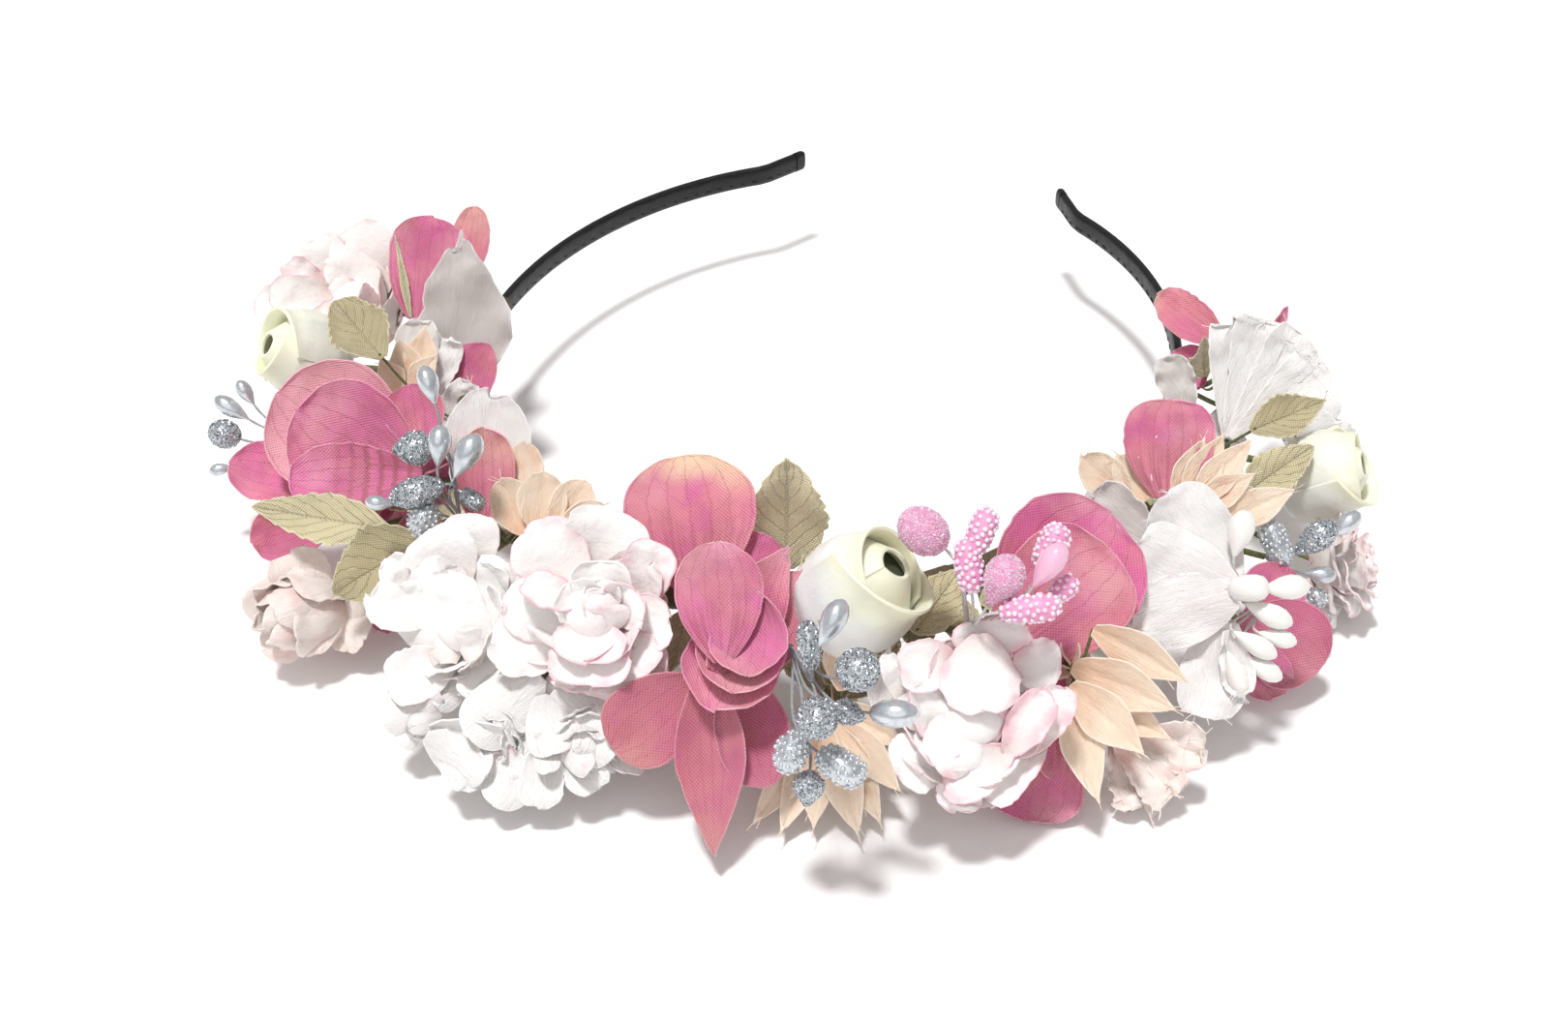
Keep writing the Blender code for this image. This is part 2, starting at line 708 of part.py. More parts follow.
def stand_on_floor(shop):
    """Moves the crown's origin so that its box stands centred on the origin."""
    bpy.context.view_layer.update()
    corners = [
        part.matrix_world @ vertex.co
        for part in shop.parts.objects
        if part.type == "MESH"
        for vertex in part.data.vertices
    ]
    low = [min(corner[axis] for corner in corners) for axis in range(3)]
    high = [max(corner[axis] for corner in corners) for axis in range(3)]
    shop.root.location = (-(low[0] + high[0]) / 2, -(low[1] + high[1]) / 2, -low[2])
    bpy.context.view_layer.update()


def shade_round(mesh):
    """Smooth shading with the true corners kept sharp."""
    mesh.shade_smooth()
    mesh.set_sharp_from_angle(angle=math.radians(40))


def main():
    """Builds the crown, from the band outward."""
    clear_scene()
    shop = Workshop()
    room = [swollen(make_band(shop), GAP)]
    heads = make_heads(shop)
    for head in HEADS:
        mesh = heads[head.name]
        room.append(swollen(mesh, GAP))
        shade_round(shop.add(head.name, mesh, head.finish).data)
    for head in HEADS:
        if head.name in STEMMED:
            stem = trimmed(shop, stem_mesh(head), room)
            room.append(stem_mesh(head, GAP))
            shade_round(shop.add("stem_" + head.name, stem, "stem_wire").data)
    for spray in SPRAYS:
        mesh = trimmed(shop, spray_mesh(shop, spray), room)
        room.append(spray_mesh(shop, spray, GAP))
        shade_round(shop.add(spray.name, mesh, spray.finish).data)
    for bloom in BLOOMS:
        mesh = trimmed(shop, head_mesh(shop, bloom), room)
        room.append(swollen(mesh, GAP))
        shade_round(shop.add(bloom.name, mesh, bloom.finish).data)
    for plate in PLATES:
        mesh = trimmed(shop, plate_mesh(shop, plate), room)
        room.append(swollen(mesh, GAP))
        shop.add(plate.name, mesh, plate.finish)
    stand_on_floor(shop)


main()
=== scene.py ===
"""Flower crown: a ribbon-covered spring band dressed with paper, foam, satin and cloth flowers.

Every place on the crown is a station, an outward reach and a height, in degrees and
millimetres. Petals are cut as flat shapes, then bent, cupped and given their thickness.
"""

import json
import logging
import math
from dataclasses import dataclass, replace
from enum import Enum

import bpy
import numpy as np
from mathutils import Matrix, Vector, noise

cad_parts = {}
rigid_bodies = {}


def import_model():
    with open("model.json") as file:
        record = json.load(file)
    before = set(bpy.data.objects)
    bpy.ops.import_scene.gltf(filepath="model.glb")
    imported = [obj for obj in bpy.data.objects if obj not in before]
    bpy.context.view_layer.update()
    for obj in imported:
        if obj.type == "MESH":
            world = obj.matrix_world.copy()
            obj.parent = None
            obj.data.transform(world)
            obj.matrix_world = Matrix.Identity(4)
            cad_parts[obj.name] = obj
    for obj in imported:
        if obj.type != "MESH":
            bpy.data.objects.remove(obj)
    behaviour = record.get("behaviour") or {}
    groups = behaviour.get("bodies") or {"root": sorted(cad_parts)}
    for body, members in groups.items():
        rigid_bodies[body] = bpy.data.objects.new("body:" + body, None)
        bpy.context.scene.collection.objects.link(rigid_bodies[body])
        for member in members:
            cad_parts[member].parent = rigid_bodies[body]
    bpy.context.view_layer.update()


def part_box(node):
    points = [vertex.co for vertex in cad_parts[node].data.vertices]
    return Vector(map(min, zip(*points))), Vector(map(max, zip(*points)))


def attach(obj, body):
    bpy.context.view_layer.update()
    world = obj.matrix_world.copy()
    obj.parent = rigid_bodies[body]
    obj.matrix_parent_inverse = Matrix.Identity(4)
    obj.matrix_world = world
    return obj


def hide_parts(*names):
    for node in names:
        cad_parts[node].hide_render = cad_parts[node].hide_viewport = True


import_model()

MM = 0.001
BODY = "root"
LOG = logging.getLogger("flower_crown")

Point = tuple[float, float, float]
Array = np.ndarray

ORIGIN: Point = (0.0, 0.0, 0.0)
PLAIN_TONE: Point = (0.5, 0.0, 0.0)
UP = np.array([0.0, 0.0, 1.0])
TURN = 2 * math.pi


# --------------------------------------------------------------------------------------
# Places on the crown
# --------------------------------------------------------------------------------------


@dataclass(frozen=True)
class Spot:
    """A place on the crown: degrees round the band, and millimetres outward and up."""

    station: float
    outward: float
    height: float


@dataclass(frozen=True)
class Stance:
    """A flower's own frame: its middle, and unit vectors right, up and out of its face."""

    middle: Array
    right: Array
    up: Array
    out: Array

    def point(self, local: Point) -> Array:
        """A point given by its right, up and out measures in millimetres."""
        return self.middle + local[0] * self.right + local[1] * self.up + local[2] * self.out


def unit(vector: Array) -> Array:
    """The vector at length one."""
    return vector / max(1e-9, float(np.linalg.norm(vector)))


def stance_towards(middle: Array, out: Array) -> Stance:
    """A stance whose face looks along out and whose right side is level.

    Args:
        middle: the flower's middle in millimetres.
        out: the direction that its face looks in.

    Returns:
        The stance.
    """
    out = unit(out)
    level = np.cross(UP, out)
    right = unit(level) if np.linalg.norm(level) > 1e-6 else np.array([1.0, 0.0, 0.0])
    return Stance(middle, right, np.cross(out, right), out)


@dataclass(frozen=True)
class Band:
    """The oval that the crown is built on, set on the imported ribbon's own box."""

    half_width: float = 67.0
    half_depth: float = 80.0
    height: float = 20.0
    arm_end: float = 147.0
    flare_length: float = 10.0
    flare_angle: float = 22.0
    ribbon_half: float = 1.0

    def shift(self) -> Array:
        """The move from the oval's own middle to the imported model, in millimetres."""
        low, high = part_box("ribbon_wrap")
        side = 0.5 * (low.x + high.x) / MM
        front = low.y / MM + self.half_depth + self.ribbon_half
        lift = 0.5 * (low.z + high.z) / MM - self.height
        return np.array([side, front, lift])

    def axes(self, station: float) -> tuple[Array, Array]:
        """Unit vectors along the band and outward from it.

        Args:
            station: degrees round the band from the middle of its front.

        Returns:
            The two unit vectors.
        """
        angle = math.radians(station)
        along = unit(
            np.array([self.half_width * math.cos(angle), self.half_depth * math.sin(angle), 0.0])
        )
        return along, np.array([along[1], -along[0], 0.0])

    def place(self, spot: Spot) -> Array:
        """The point in millimetres that a spot names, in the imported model's frame.

        Args:
            spot: the station, reach and height.

        Returns:
            The point.
        """
        angle = math.radians(spot.station)
        middle = np.array(
            [self.half_width * math.sin(angle), -self.half_depth * math.cos(angle), spot.height]
        )
        return middle + self.axes(spot.station)[1] * spot.outward + self.shift()

    def foot(self, station: float) -> Array:
        """Where a wire is bound in, just outside the ribbon."""
        return self.place(Spot(station, 1.6, self.height - 1.2))

    def facing(self, station: float, yaw: float, rise: float) -> Array:
        """Unit vector turned by yaw from outward towards rising stations, lifted by rise.

        Args:
            station: degrees round the band.
            yaw: the turn in degrees.
            rise: the lift in degrees.

        Returns:
            The unit vector.
        """
        along, outward = self.axes(station)
        turn, lift = math.radians(yaw), math.radians(rise)
        level = outward * math.cos(turn) + along * math.sin(turn)
        return level * math.cos(lift) + UP * math.sin(lift)

    def stance(self, spot: Spot, yaw: float, rise: float) -> Stance:
        """A flower's stance from its spot and the way that it faces."""
        return stance_towards(self.place(spot), self.facing(spot.station, yaw, rise))

    def show_side(self, spot: Spot) -> Stance:
        """A stance at a spot that faces the crown's show side, front right and from above."""
        return stance_towards(self.place(spot), compass(SHOW_TURN, SHOW_RISE))

    def arm_line(self, steps: int) -> list[tuple[Array, Array]]:
        """The covered band's centre line with its outward vectors, ends flared.

        Args:
            steps: points between the two arm ends.

        Returns:
            Pairs of a point and an outward vector, from the left end to the right end.
        """
        line: list[tuple[Array, Array]] = []
        for step in range(steps + 1):
            station = -self.arm_end + 2 * self.arm_end * step / steps
            point = self.place(Spot(station, 0.0, self.height))
            line.append((point, self.axes(station)[1]))
        for index, side in ((0, -1.0), (-1, 1.0)):
            point, outward = line[index]
            ahead = np.array([-outward[1], outward[0], 0.0]) * side
            bends = []
            for part in (0.25, 0.5, 0.75, 1.0):
                angle = math.radians(-side * self.flare_angle * min(1.0, 2.0 * part))
                turned = turn_level(ahead, angle)
                last = bends[-1][0] if bends else point
                bends.append(
                    (last + turned * self.flare_length / 4, turn_level(outward, angle))
                )
            if side < 0:
                line = bends[::-1] + line
            else:
                line = line + bends
        return line


SHOW_TURN = 18.0
SHOW_RISE = 36.0


def compass(turn: float, rise: float) -> Array:
    """Unit vector turned from the crown's front towards its right, and lifted, in degrees.

    Args:
        turn: degrees from the front towards the right.
        rise: degrees above the level.

    Returns:
        The unit vector.
    """
    level, lift = math.radians(turn), math.radians(rise)
    return np.array(
        [
            math.sin(level) * math.cos(lift),
            -math.cos(level) * math.cos(lift),
            math.sin(lift),
        ]
    )


def turn_level(vector: Array, angle: float) -> Array:
    """The vector turned about the upright axis by an angle in radians.

    Args:
        vector: what is turned.
        angle: the turn in radians.

    Returns:
        The turned vector.
    """
    cosine, sine = math.cos(angle), math.sin(angle)
    return np.array(
        [
            vector[0] * cosine - vector[1] * sine,
            vector[0] * sine + vector[1] * cosine,
            vector[2],
        ]
    )


def round_spokes(first: Array, second: Array, sides: int) -> Array:
    """Unit vectors all round the plane of two others.

    Args:
        first: where the round starts.
        second: the direction a quarter of the way round.
        sides: how many vectors there are.

    Returns:
        One vector to a row.
    """
    turn = np.arange(sides) * 2 * math.pi / sides
    return np.cos(turn)[:, None] * first + np.sin(turn)[:, None] * second


def turn_about(vector: Array, axis: Array, degrees: float) -> Array:
    """The vector turned about a unit axis.

    Args:
        vector: what is turned.
        axis: the unit axis.
        degrees: the turn.

    Returns:
        The turned vector.
    """
    angle = math.radians(degrees)
    across = np.cross(axis, vector)
    return (
        vector * math.cos(angle)
        + across * math.sin(angle)
        + axis * float(axis @ vector) * (1 - math.cos(angle))
    )


BAND = Band()


# --------------------------------------------------------------------------------------
# Finishes
# --------------------------------------------------------------------------------------


def dye(code: str) -> tuple[float, float, float, float]:
    """A linear colour from a dyer's six-figure colour code.

    Args:
        code: two figures each for red, green and blue.

    Returns:
        Red, green, blue and one.
    """
    parts = [int(code[i : i + 2], 16) / 255 for i in (0, 2, 4)]
    linear = [c / 12.92 if c <= 0.04045 else ((c + 0.055) / 1.055) ** 2.4 for c in parts]
    return (linear[0], linear[1], linear[2], 1.0)


Socket = bpy.types.NodeSocket


class Flow:
    """A number or colour on its way through the nodes of one material."""

    def __init__(self, bench: "Bench", socket: Socket) -> None:
        """Holds the socket that the value comes from."""
        self.bench = bench
        self.socket = socket

    def __add__(self, other: "Value") -> "Flow":
        """This value plus another."""
        return self.bench.maths("ADD", self, other)

    def __sub__(self, other: "Value") -> "Flow":
        """This value less another."""
        return self.bench.maths("SUBTRACT", self, other)

    def __rsub__(self, other: "Value") -> "Flow":
        """Another value less this one."""
        return self.bench.maths("SUBTRACT", other, self)

    def __mul__(self, other: "Value") -> "Flow":
        """This value times another."""
        return self.bench.maths("MULTIPLY", self, other)


Value = Flow | Socket | float


class Bench:
    """Lays out the nodes of one material."""

    def __init__(self, name: str) -> None:
        """Starts a material with its shader."""
        self.material = bpy.data.materials.new(name)
        self.material.use_nodes = True
        self.nodes = self.material.node_tree.nodes
        self.links = self.material.node_tree.links
        self.shader = self.nodes["Principled BSDF"]

    def put(self, kind: str, **settings: object) -> bpy.types.Node:
        """Adds a node with its settings.

        Args:
            kind: the node's type.
            settings: its properties by name.

        Returns:
            The node.
        """
        node = self.nodes.new(kind)
        for key, value in settings.items():
            setattr(node, key, value)
        return node

    def feed(self, socket: Socket, value: object) -> None:
        """Links a socket, or sets its value.

        Args:
            socket: the input that is fed.
            value: a flow, a socket or a plain value.
        """
        if isinstance(value, Flow):
            value = value.socket
        if isinstance(value, bpy.types.NodeSocket):
            self.links.new(value, socket)
        else:
            socket.default_value = value

    def maths(self, operation: str, first: Value, second: Value = 0.0, third: Value = 0.0) -> Flow:
        """One sum, product or other operation on numbers.

        Args:
            operation: the Math node's operation.
            first: its first number.
            second: its second number.
            third: its third number.

        Returns:
            The result.
        """
        node = self.put("ShaderNodeMath", operation=operation)
        for socket, value in zip(node.inputs, (first, second, third)):
            self.feed(socket, value)
        return Flow(self, node.outputs[0])

    def larger(self, first: Value, second: Value) -> Flow:
        """The larger of two numbers."""
        return self.maths("MAXIMUM", first, second)

    def wave(self, value: Value) -> Flow:
        """The sine of a number."""
        return self.maths("SINE", value)

    def clamp(self, value: Value, low: float, high: float) -> Flow:
        """A smooth step of the value from 0 at low to 1 at high.

        Args:
            value: what is stepped.
            low: where the step starts.
            high: where it ends.

        Returns:
            A flow between 0 and 1.
        """
        node = self.put("ShaderNodeMapRange", interpolation_type="SMOOTHSTEP")
        self.feed(node.inputs["Value"], value)
        node.inputs["From Min"].default_value = low
        node.inputs["From Max"].default_value = high
        return Flow(self, node.outputs["Result"])

    def blend(self, share: Value, first: object, second: object, mode: str = "MIX") -> Flow:
        """A mix of two colours.

        Args:
            share: how much of the second there is.
            first: the colour at no share.
            second: the colour at full share.
            mode: how the two are mixed.

        Returns:
            The mixed colour.
        """
        node = self.put("ShaderNodeMix", data_type="RGBA", blend_type=mode)
        self.feed(node.inputs[0], share)
        self.feed(node.inputs[6], first)
        self.feed(node.inputs[7], second)
        return Flow(self, node.outputs[2])

    def parts(self, name: str) -> tuple[Flow, Flow, Flow]:
        """The three numbers of a piece's own attribute.

        Args:
            name: the attribute's name.

        Returns:
            The three numbers.
        """
        source = self.put("ShaderNodeAttribute", attribute_name=name)
        split = self.put("ShaderNodeSeparateXYZ")
        self.links.new(source.outputs["Vector"], split.inputs[0])
        return Flow(self, split.outputs[0]), Flow(self, split.outputs[1]), Flow(self, split.outputs[2])

    def joined(self, x: Value, y: Value, z: Value = 0.0) -> Flow:
        """A vector of three numbers.

        Args:
            x: the first.
            y: the second.
            z: the third.

        Returns:
            The vector.
        """
        node = self.put("ShaderNodeCombineXYZ")
        for socket, value in zip(node.inputs, (x, y, z)):
            self.feed(socket, value)
        return Flow(self, node.outputs[0])

    def place(self) -> Flow:
        """The piece's own coordinates in metres."""
        return Flow(self, self.put("ShaderNodeTexCoord").outputs["Object"])

    def cloud(
        self, scale: float, detail: float = 2.0, vector: Flow | Socket | None = None, rough: float = 0.5
    ) -> Flow:
        """Soft noise between 0 and 1.

        Args:
            scale: how fine it is.
            detail: how many layers it has.
            vector: where it is read; the piece's own coordinates unless given.
            rough: how strong its fine layers are.

        Returns:
            The noise.
        """
        node = self.put("ShaderNodeTexNoise")
        self.feed(node.inputs["Vector"], vector if vector is not None else self.place())
        node.inputs["Scale"].default_value = scale
        node.inputs["Detail"].default_value = detail
        node.inputs["Roughness"].default_value = rough
        return Flow(self, node.outputs[0])

    def relief(self, height: Value, depth: float, under: Flow | None = None) -> Flow:
        """A bump of a depth in metres over an earlier normal.

        Args:
            height: the bump's height from 0 to 1.
            depth: its depth in metres.
            under: the earlier normal.

        Returns:
            The new normal.
        """
        node = self.put("ShaderNodeBump")
        node.inputs["Strength"].default_value = 1.0
        node.inputs["Distance"].default_value = depth
        self.feed(node.inputs["Height"], height)
        if under is not None:
            self.feed(node.inputs["Normal"], under)
        return Flow(self, node.outputs[0])

    def finish(
        self, colour: object, roughness: object, normal: Flow | None = None, **plain: object
    ) -> bpy.types.Material:
        """Feeds the shader.

        Args:
            colour: the base colour, linked or plain.
            roughness: the roughness, linked or plain.
            normal: the bumped normal.
            plain: other shader inputs, by name with spaces as underscores.

        Returns:
            The material.
        """
        self.feed(self.shader.inputs["Base Color"], colour)
        self.feed(self.shader.inputs["Roughness"], roughness)
        if normal is not None:
            self.feed(self.shader.inputs["Normal"], normal)
        for key, value in plain.items():
            self.shader.inputs[key.replace("_", " ")].default_value = value
        return self.material


@dataclass(frozen=True)
class DyedCloth:
    """Die-cut petal cloth, dyed deep at its base, with printed veins and a pale cut edge.

    A point's tone holds its hue, which bleaches above one, its depth and its patch, which is
    peach above nought and printed with dark bars below. The depth darkens whole petals towards
    deep crimson: the own dye of a crimson petal, and painted shade on petals that lie in shadow.
    """

    name: str = "dyed_petal_cloth"
    salmon: str = "da7a8e"
    magenta: str = "d45b9a"
    deep: str = "8c1f3c"
    vein: str = "a8406a"
    pale: str = "eaaab6"
    peach: str = "f5d2ac"
    edge: str = "f2c6cd"
    thread_gap: float = 0.6

    def build(self) -> bpy.types.Material:
        """Lays out the dyed cloth."""
        bench = Bench(self.name)
        across, along, edge = bench.parts("mark")
        x, y, back = bench.parts("cloth")
        tint, depth, patch = bench.parts("tone")
        cloudy = bench.cloud(160.0, 4.0)
        mottled = bench.clamp(cloudy, 0.36, 0.64)
        hue = bench.clamp(tint + (mottled * 0.9 - 0.45), 0.0, 1.0)
        colour = bench.blend(hue, dye(self.salmon), dye(self.magenta))
        bleached = bench.clamp(tint, 1.0, 2.0) * (cloudy * 0.5 + 0.75)
        colour = bench.blend(bleached, colour, dye(self.pale))
        streak_place = bench.joined(across * 5.0, along * 0.8, tint)
        streaks = bench.cloud(2.2, 3.0, streak_place)
        fade = bench.clamp(along, 0.45, 1.0)
        washed = bench.clamp(bench.cloud(95.0, 3.0), 0.4, 0.66)
        pale_share = (fade * 0.6 + 0.15) * washed
        colour = bench.blend(pale_share, colour, dye(self.pale))
        pool = bench.clamp(bench.cloud(0.11, 3.0, bench.joined(x, y, tint * 9.0)), 0.46, 0.72)
        colour = bench.blend(pool * 0.36, colour, dye(self.deep))
        peach_spot = bench.clamp(bench.cloud(70.0, 2.0), 0.4, 0.62)
        rim_zone = bench.clamp(along, 0.5, 1.0)
        peach_share = peach_spot * rim_zone * bench.larger(patch, 0.0)
        colour = bench.blend(peach_share, colour, dye(self.peach))
        root = 1.0 - bench.clamp(along, 0.05, 0.75)
        bars = along * 56.0 + (streaks * 5.0 + across)
        printed = bench.wave(bars)
        printed = bench.clamp(printed, -0.1, 0.9) * (1.0 - bench.clamp(along, 0.3, 0.85))
        printed = printed * bench.clamp(patch * -1.0, 0.0, 1.0)
        colour = bench.blend(printed * 0.75, colour, dye(self.deep))
        stripe = bench.clamp(streaks, 0.42, 0.62)
        stripe_share = stripe * 0.75 + 0.3
        deep_share = root * stripe_share * 0.8
        # Dye and painted shade: the base is dyed deep, and the tone's depth darkens whole petals, as the
        # dye of crimson petals and as painted shade on petals in shadow.
        deep_dye_and_painted_shade = bench.larger(deep_share, depth * 0.75)
        colour = bench.blend(deep_dye_and_painted_shade, colour, dye(self.deep))
        wobble = bench.cloud(9.0, 2.0, bench.joined(across, along, depth)) * 0.5 - 0.25
        fan = across * 3.2 + wobble
        ribs = bench.maths("PINGPONG", fan + 10.0, 0.5)
        vein = 1.0 - bench.clamp(ribs, 0.0, 0.08)
        side_line = along * 5.0 + bench.maths("ABSOLUTE", across) * -2.2
        side_rib = bench.maths("PINGPONG", side_line + (wobble + 10.0), 0.5)
        side_vein = 1.0 - bench.clamp(side_rib, 0.0, 0.06)
        veins = bench.larger(vein, side_vein * 0.5)
        colour = bench.blend(veins * 0.36, colour, dye(self.vein))
        warp = bench.wave((x + y) * (TURN / self.thread_gap))
        weft = bench.wave((x - y) * (TURN / self.thread_gap))
        weave = (warp + weft * 0.7) * 0.29 + 0.5
        colour = bench.blend(weave * 0.25, colour, dye(self.edge))
        rim = 1.0 - bench.clamp(edge, 0.0, 0.3)
        colour = bench.blend(rim * 0.2, colour, dye(self.edge))
        colour = bench.blend(back * 0.35, colour, dye(self.pale))
        normal = bench.relief(weave, 0.00008)
        normal = bench.relief(veins * -1.0, 0.00005, normal)
        rough = cloudy * 0.2 + 0.45
        return bench.finish(
            colour,
            rough,
            normal,
            Sheen_Weight=0.25,
            Subsurface_Weight=0.18,
            Subsurface_Radius=(1.0, 0.45, 0.45),
            Subsurface_Scale=0.0012,
        )


@dataclass(frozen=True)
class PlainCloth:
    """Plain petal cloth with a fine weave, a faint blush and soft creases.

    A point's tone holds a shift of its creases, its shade and its blush.
    """

    name: str
    body: str
    shade: str
    blush: str
    edge: str
    thread_gap: float = 0.4
    weave_depth: float = 0.00004
    crease_depth: float = 0.0003
    fold_depth: float = 0.0004
    rough: float = 0.6
    sheen: float = 0.2

    def build(self) -> bpy.types.Material:
        """Lays out the plain cloth."""
        bench = Bench(self.name)
        _, along, edge = bench.parts("mark")
        x, y, _ = bench.parts("cloth")
        tint, depth, blush = bench.parts("tone")
        cloudy = bench.cloud(120.0, 3.0)
        root = 1.0 - bench.clamp(along, 0.0, 0.6)
        shade_share = (root + cloudy) * 0.38
        colour = bench.blend(shade_share, dye(self.body), dye(self.shade))
        blush_zone = bench.clamp(bench.cloud(220.0, 2.0) + root * 0.3, 0.45, 0.8)
        colour = bench.blend(blush_zone * blush, colour, dye(self.blush))
        fibre_place = bench.joined(x * 3.2, y * 0.35, tint)
        fibres = bench.cloud(1.4, 3.0, fibre_place, 0.7)
        warp = bench.wave(x * (TURN / self.thread_gap))
        weft = bench.wave(y * (TURN / self.thread_gap))
        weave = warp * weft * 0.5 + 0.5
        rim = 1.0 - bench.clamp(edge, 0.0, 0.45)
        colour = bench.blend(rim * 0.6, colour, dye(self.edge))
        colour = bench.blend(depth * 0.6, colour, dye(self.shade))
        colour = bench.blend(bench.clamp(fibres, 0.55, 0.8) * 0.18, colour, dye(self.shade))
        fold_place = bench.joined(x * 0.55, y * 0.16, tint)
        folds = bench.cloud(1.0, 2.0, fold_place)
        normal = bench.relief(weave, self.weave_depth)
        normal = bench.relief(fibres, self.crease_depth, normal)
        normal = bench.relief(folds, self.fold_depth, normal)
        rough = fibres * 0.2 + (self.rough - 0.1)
        return bench.finish(
            colour,
            rough,
            normal,
            Sheen_Weight=self.sheen,
            Subsurface_Weight=0.15,
            Subsurface_Radius=(1.0, 0.85, 0.75),
            Subsurface_Scale=0.0015,
        )


@dataclass(frozen=True)
class RosePaper:
    """Thick soft rose paper: matt white, dyed pink along its pressed edges.

    A point's tone holds its painted dimming, a painted shade over a whole flower, its pink all
    over, partly the paper's own pink and partly painted shade in the folds, and its pink at the edges.
    """

    name: str = "rose_paper_skin"
    body: str = "f7f6f4"
    shade: str = "ccb9ae"
    pink: str = "f0b3bf"

    def build(self) -> bpy.types.Material:
        """Lays out the paper."""
        bench = Bench(self.name)
        _, along, edge = bench.parts("mark")
        _, _, back = bench.parts("cloth")
        tint, depth, blush = bench.parts("tone")
        cloudy = bench.cloud(140.0, 3.0)
        root = 1.0 - bench.clamp(along, 0.0, 0.65)
        # Painted shade: a tone above one half dims the whole flower in cloudy patches, so that a rose
        # stands out against the white floor.
        painted_dimming = bench.larger(tint - 0.5, 0.0)
        shadow = root * 0.55 + painted_dimming * cloudy
        colour = bench.blend(shadow, dye(self.body), dye(self.shade))
        colour = bench.blend(back * 0.35, colour, dye(self.shade))
        rim = 1.0 - bench.clamp(edge, 0.0, 0.42)
        near = 1.0 - bench.clamp(edge, 0.3, 3.2)
        bleed = bench.clamp(cloudy, 0.42, 0.72) * near
        soaked = bench.larger(rim * 0.8, bleed)
        # The tone's depth soaks a whole petal pink: partly the paper's own pink, partly painted shade in
        # the rose's folds.
        rim_share = bench.larger(soaked * blush, depth * 0.7)
        colour = bench.blend(rim_share, colour, dye(self.pink))
        grain = bench.cloud(2600.0, 2.0)
        crush = bench.cloud(420.0, 4.0, None, 0.6)
        normal = bench.relief(grain, 0.00004)
        normal = bench.relief(crush, 0.00038, normal)
        rough = grain * 0.15 + 0.66
        return bench.finish(
            colour,
            rough,
            normal,
            Subsurface_Weight=0.12,
            Subsurface_Radius=(1.0, 0.8, 0.75),
            Subsurface_Scale=0.0015,
        )


@dataclass(frozen=True)
class BudFoam:
    """Smooth ivory foam that turns yellow-green inside the bud, and dark green where its heart plug paints
    the shade in the hollow.
    """

    name: str = "bud_foam_skin"
    body: str = "f6f7f2"
    cream: str = "ecedce"
    green: str = "36402a"

    def build(self) -> bpy.types.Material:
        """Lays out the foam."""
        bench = Bench(self.name)
        _, along, _ = bench.parts("mark")
        _, depth, blush = bench.parts("tone")
        cloudy = bench.cloud(90.0, 2.0)
        cream = bench.clamp(cloudy * 0.5 + along, 0.75, 1.3) * 0.9
        colour = bench.blend(bench.larger(cream, blush), dye(self.body), dye(self.cream))
        # The tone's depth turns the foam dark green: the heart plug's painted shade in the bud's hollow,
        # over the foam's own greenish inside.
        colour = bench.blend(depth, colour, dye(self.green))
        pores = bench.put("ShaderNodeTexVoronoi")
        bench.feed(pores.inputs["Vector"], bench.place())
        pores.inputs["Scale"].default_value = 2600.0
        normal = bench.relief(pores.outputs["Distance"], 0.00003)
        normal = bench.relief(bench.cloud(260.0, 2.0), 0.0002, normal)
        rough = cloudy * 0.15 + 0.42
        return bench.finish(
            colour,
            rough,
            normal,
            Subsurface_Weight=0.35,
            Subsurface_Radius=(1.0, 0.9, 0.7),
            Subsurface_Scale=0.002,
        )


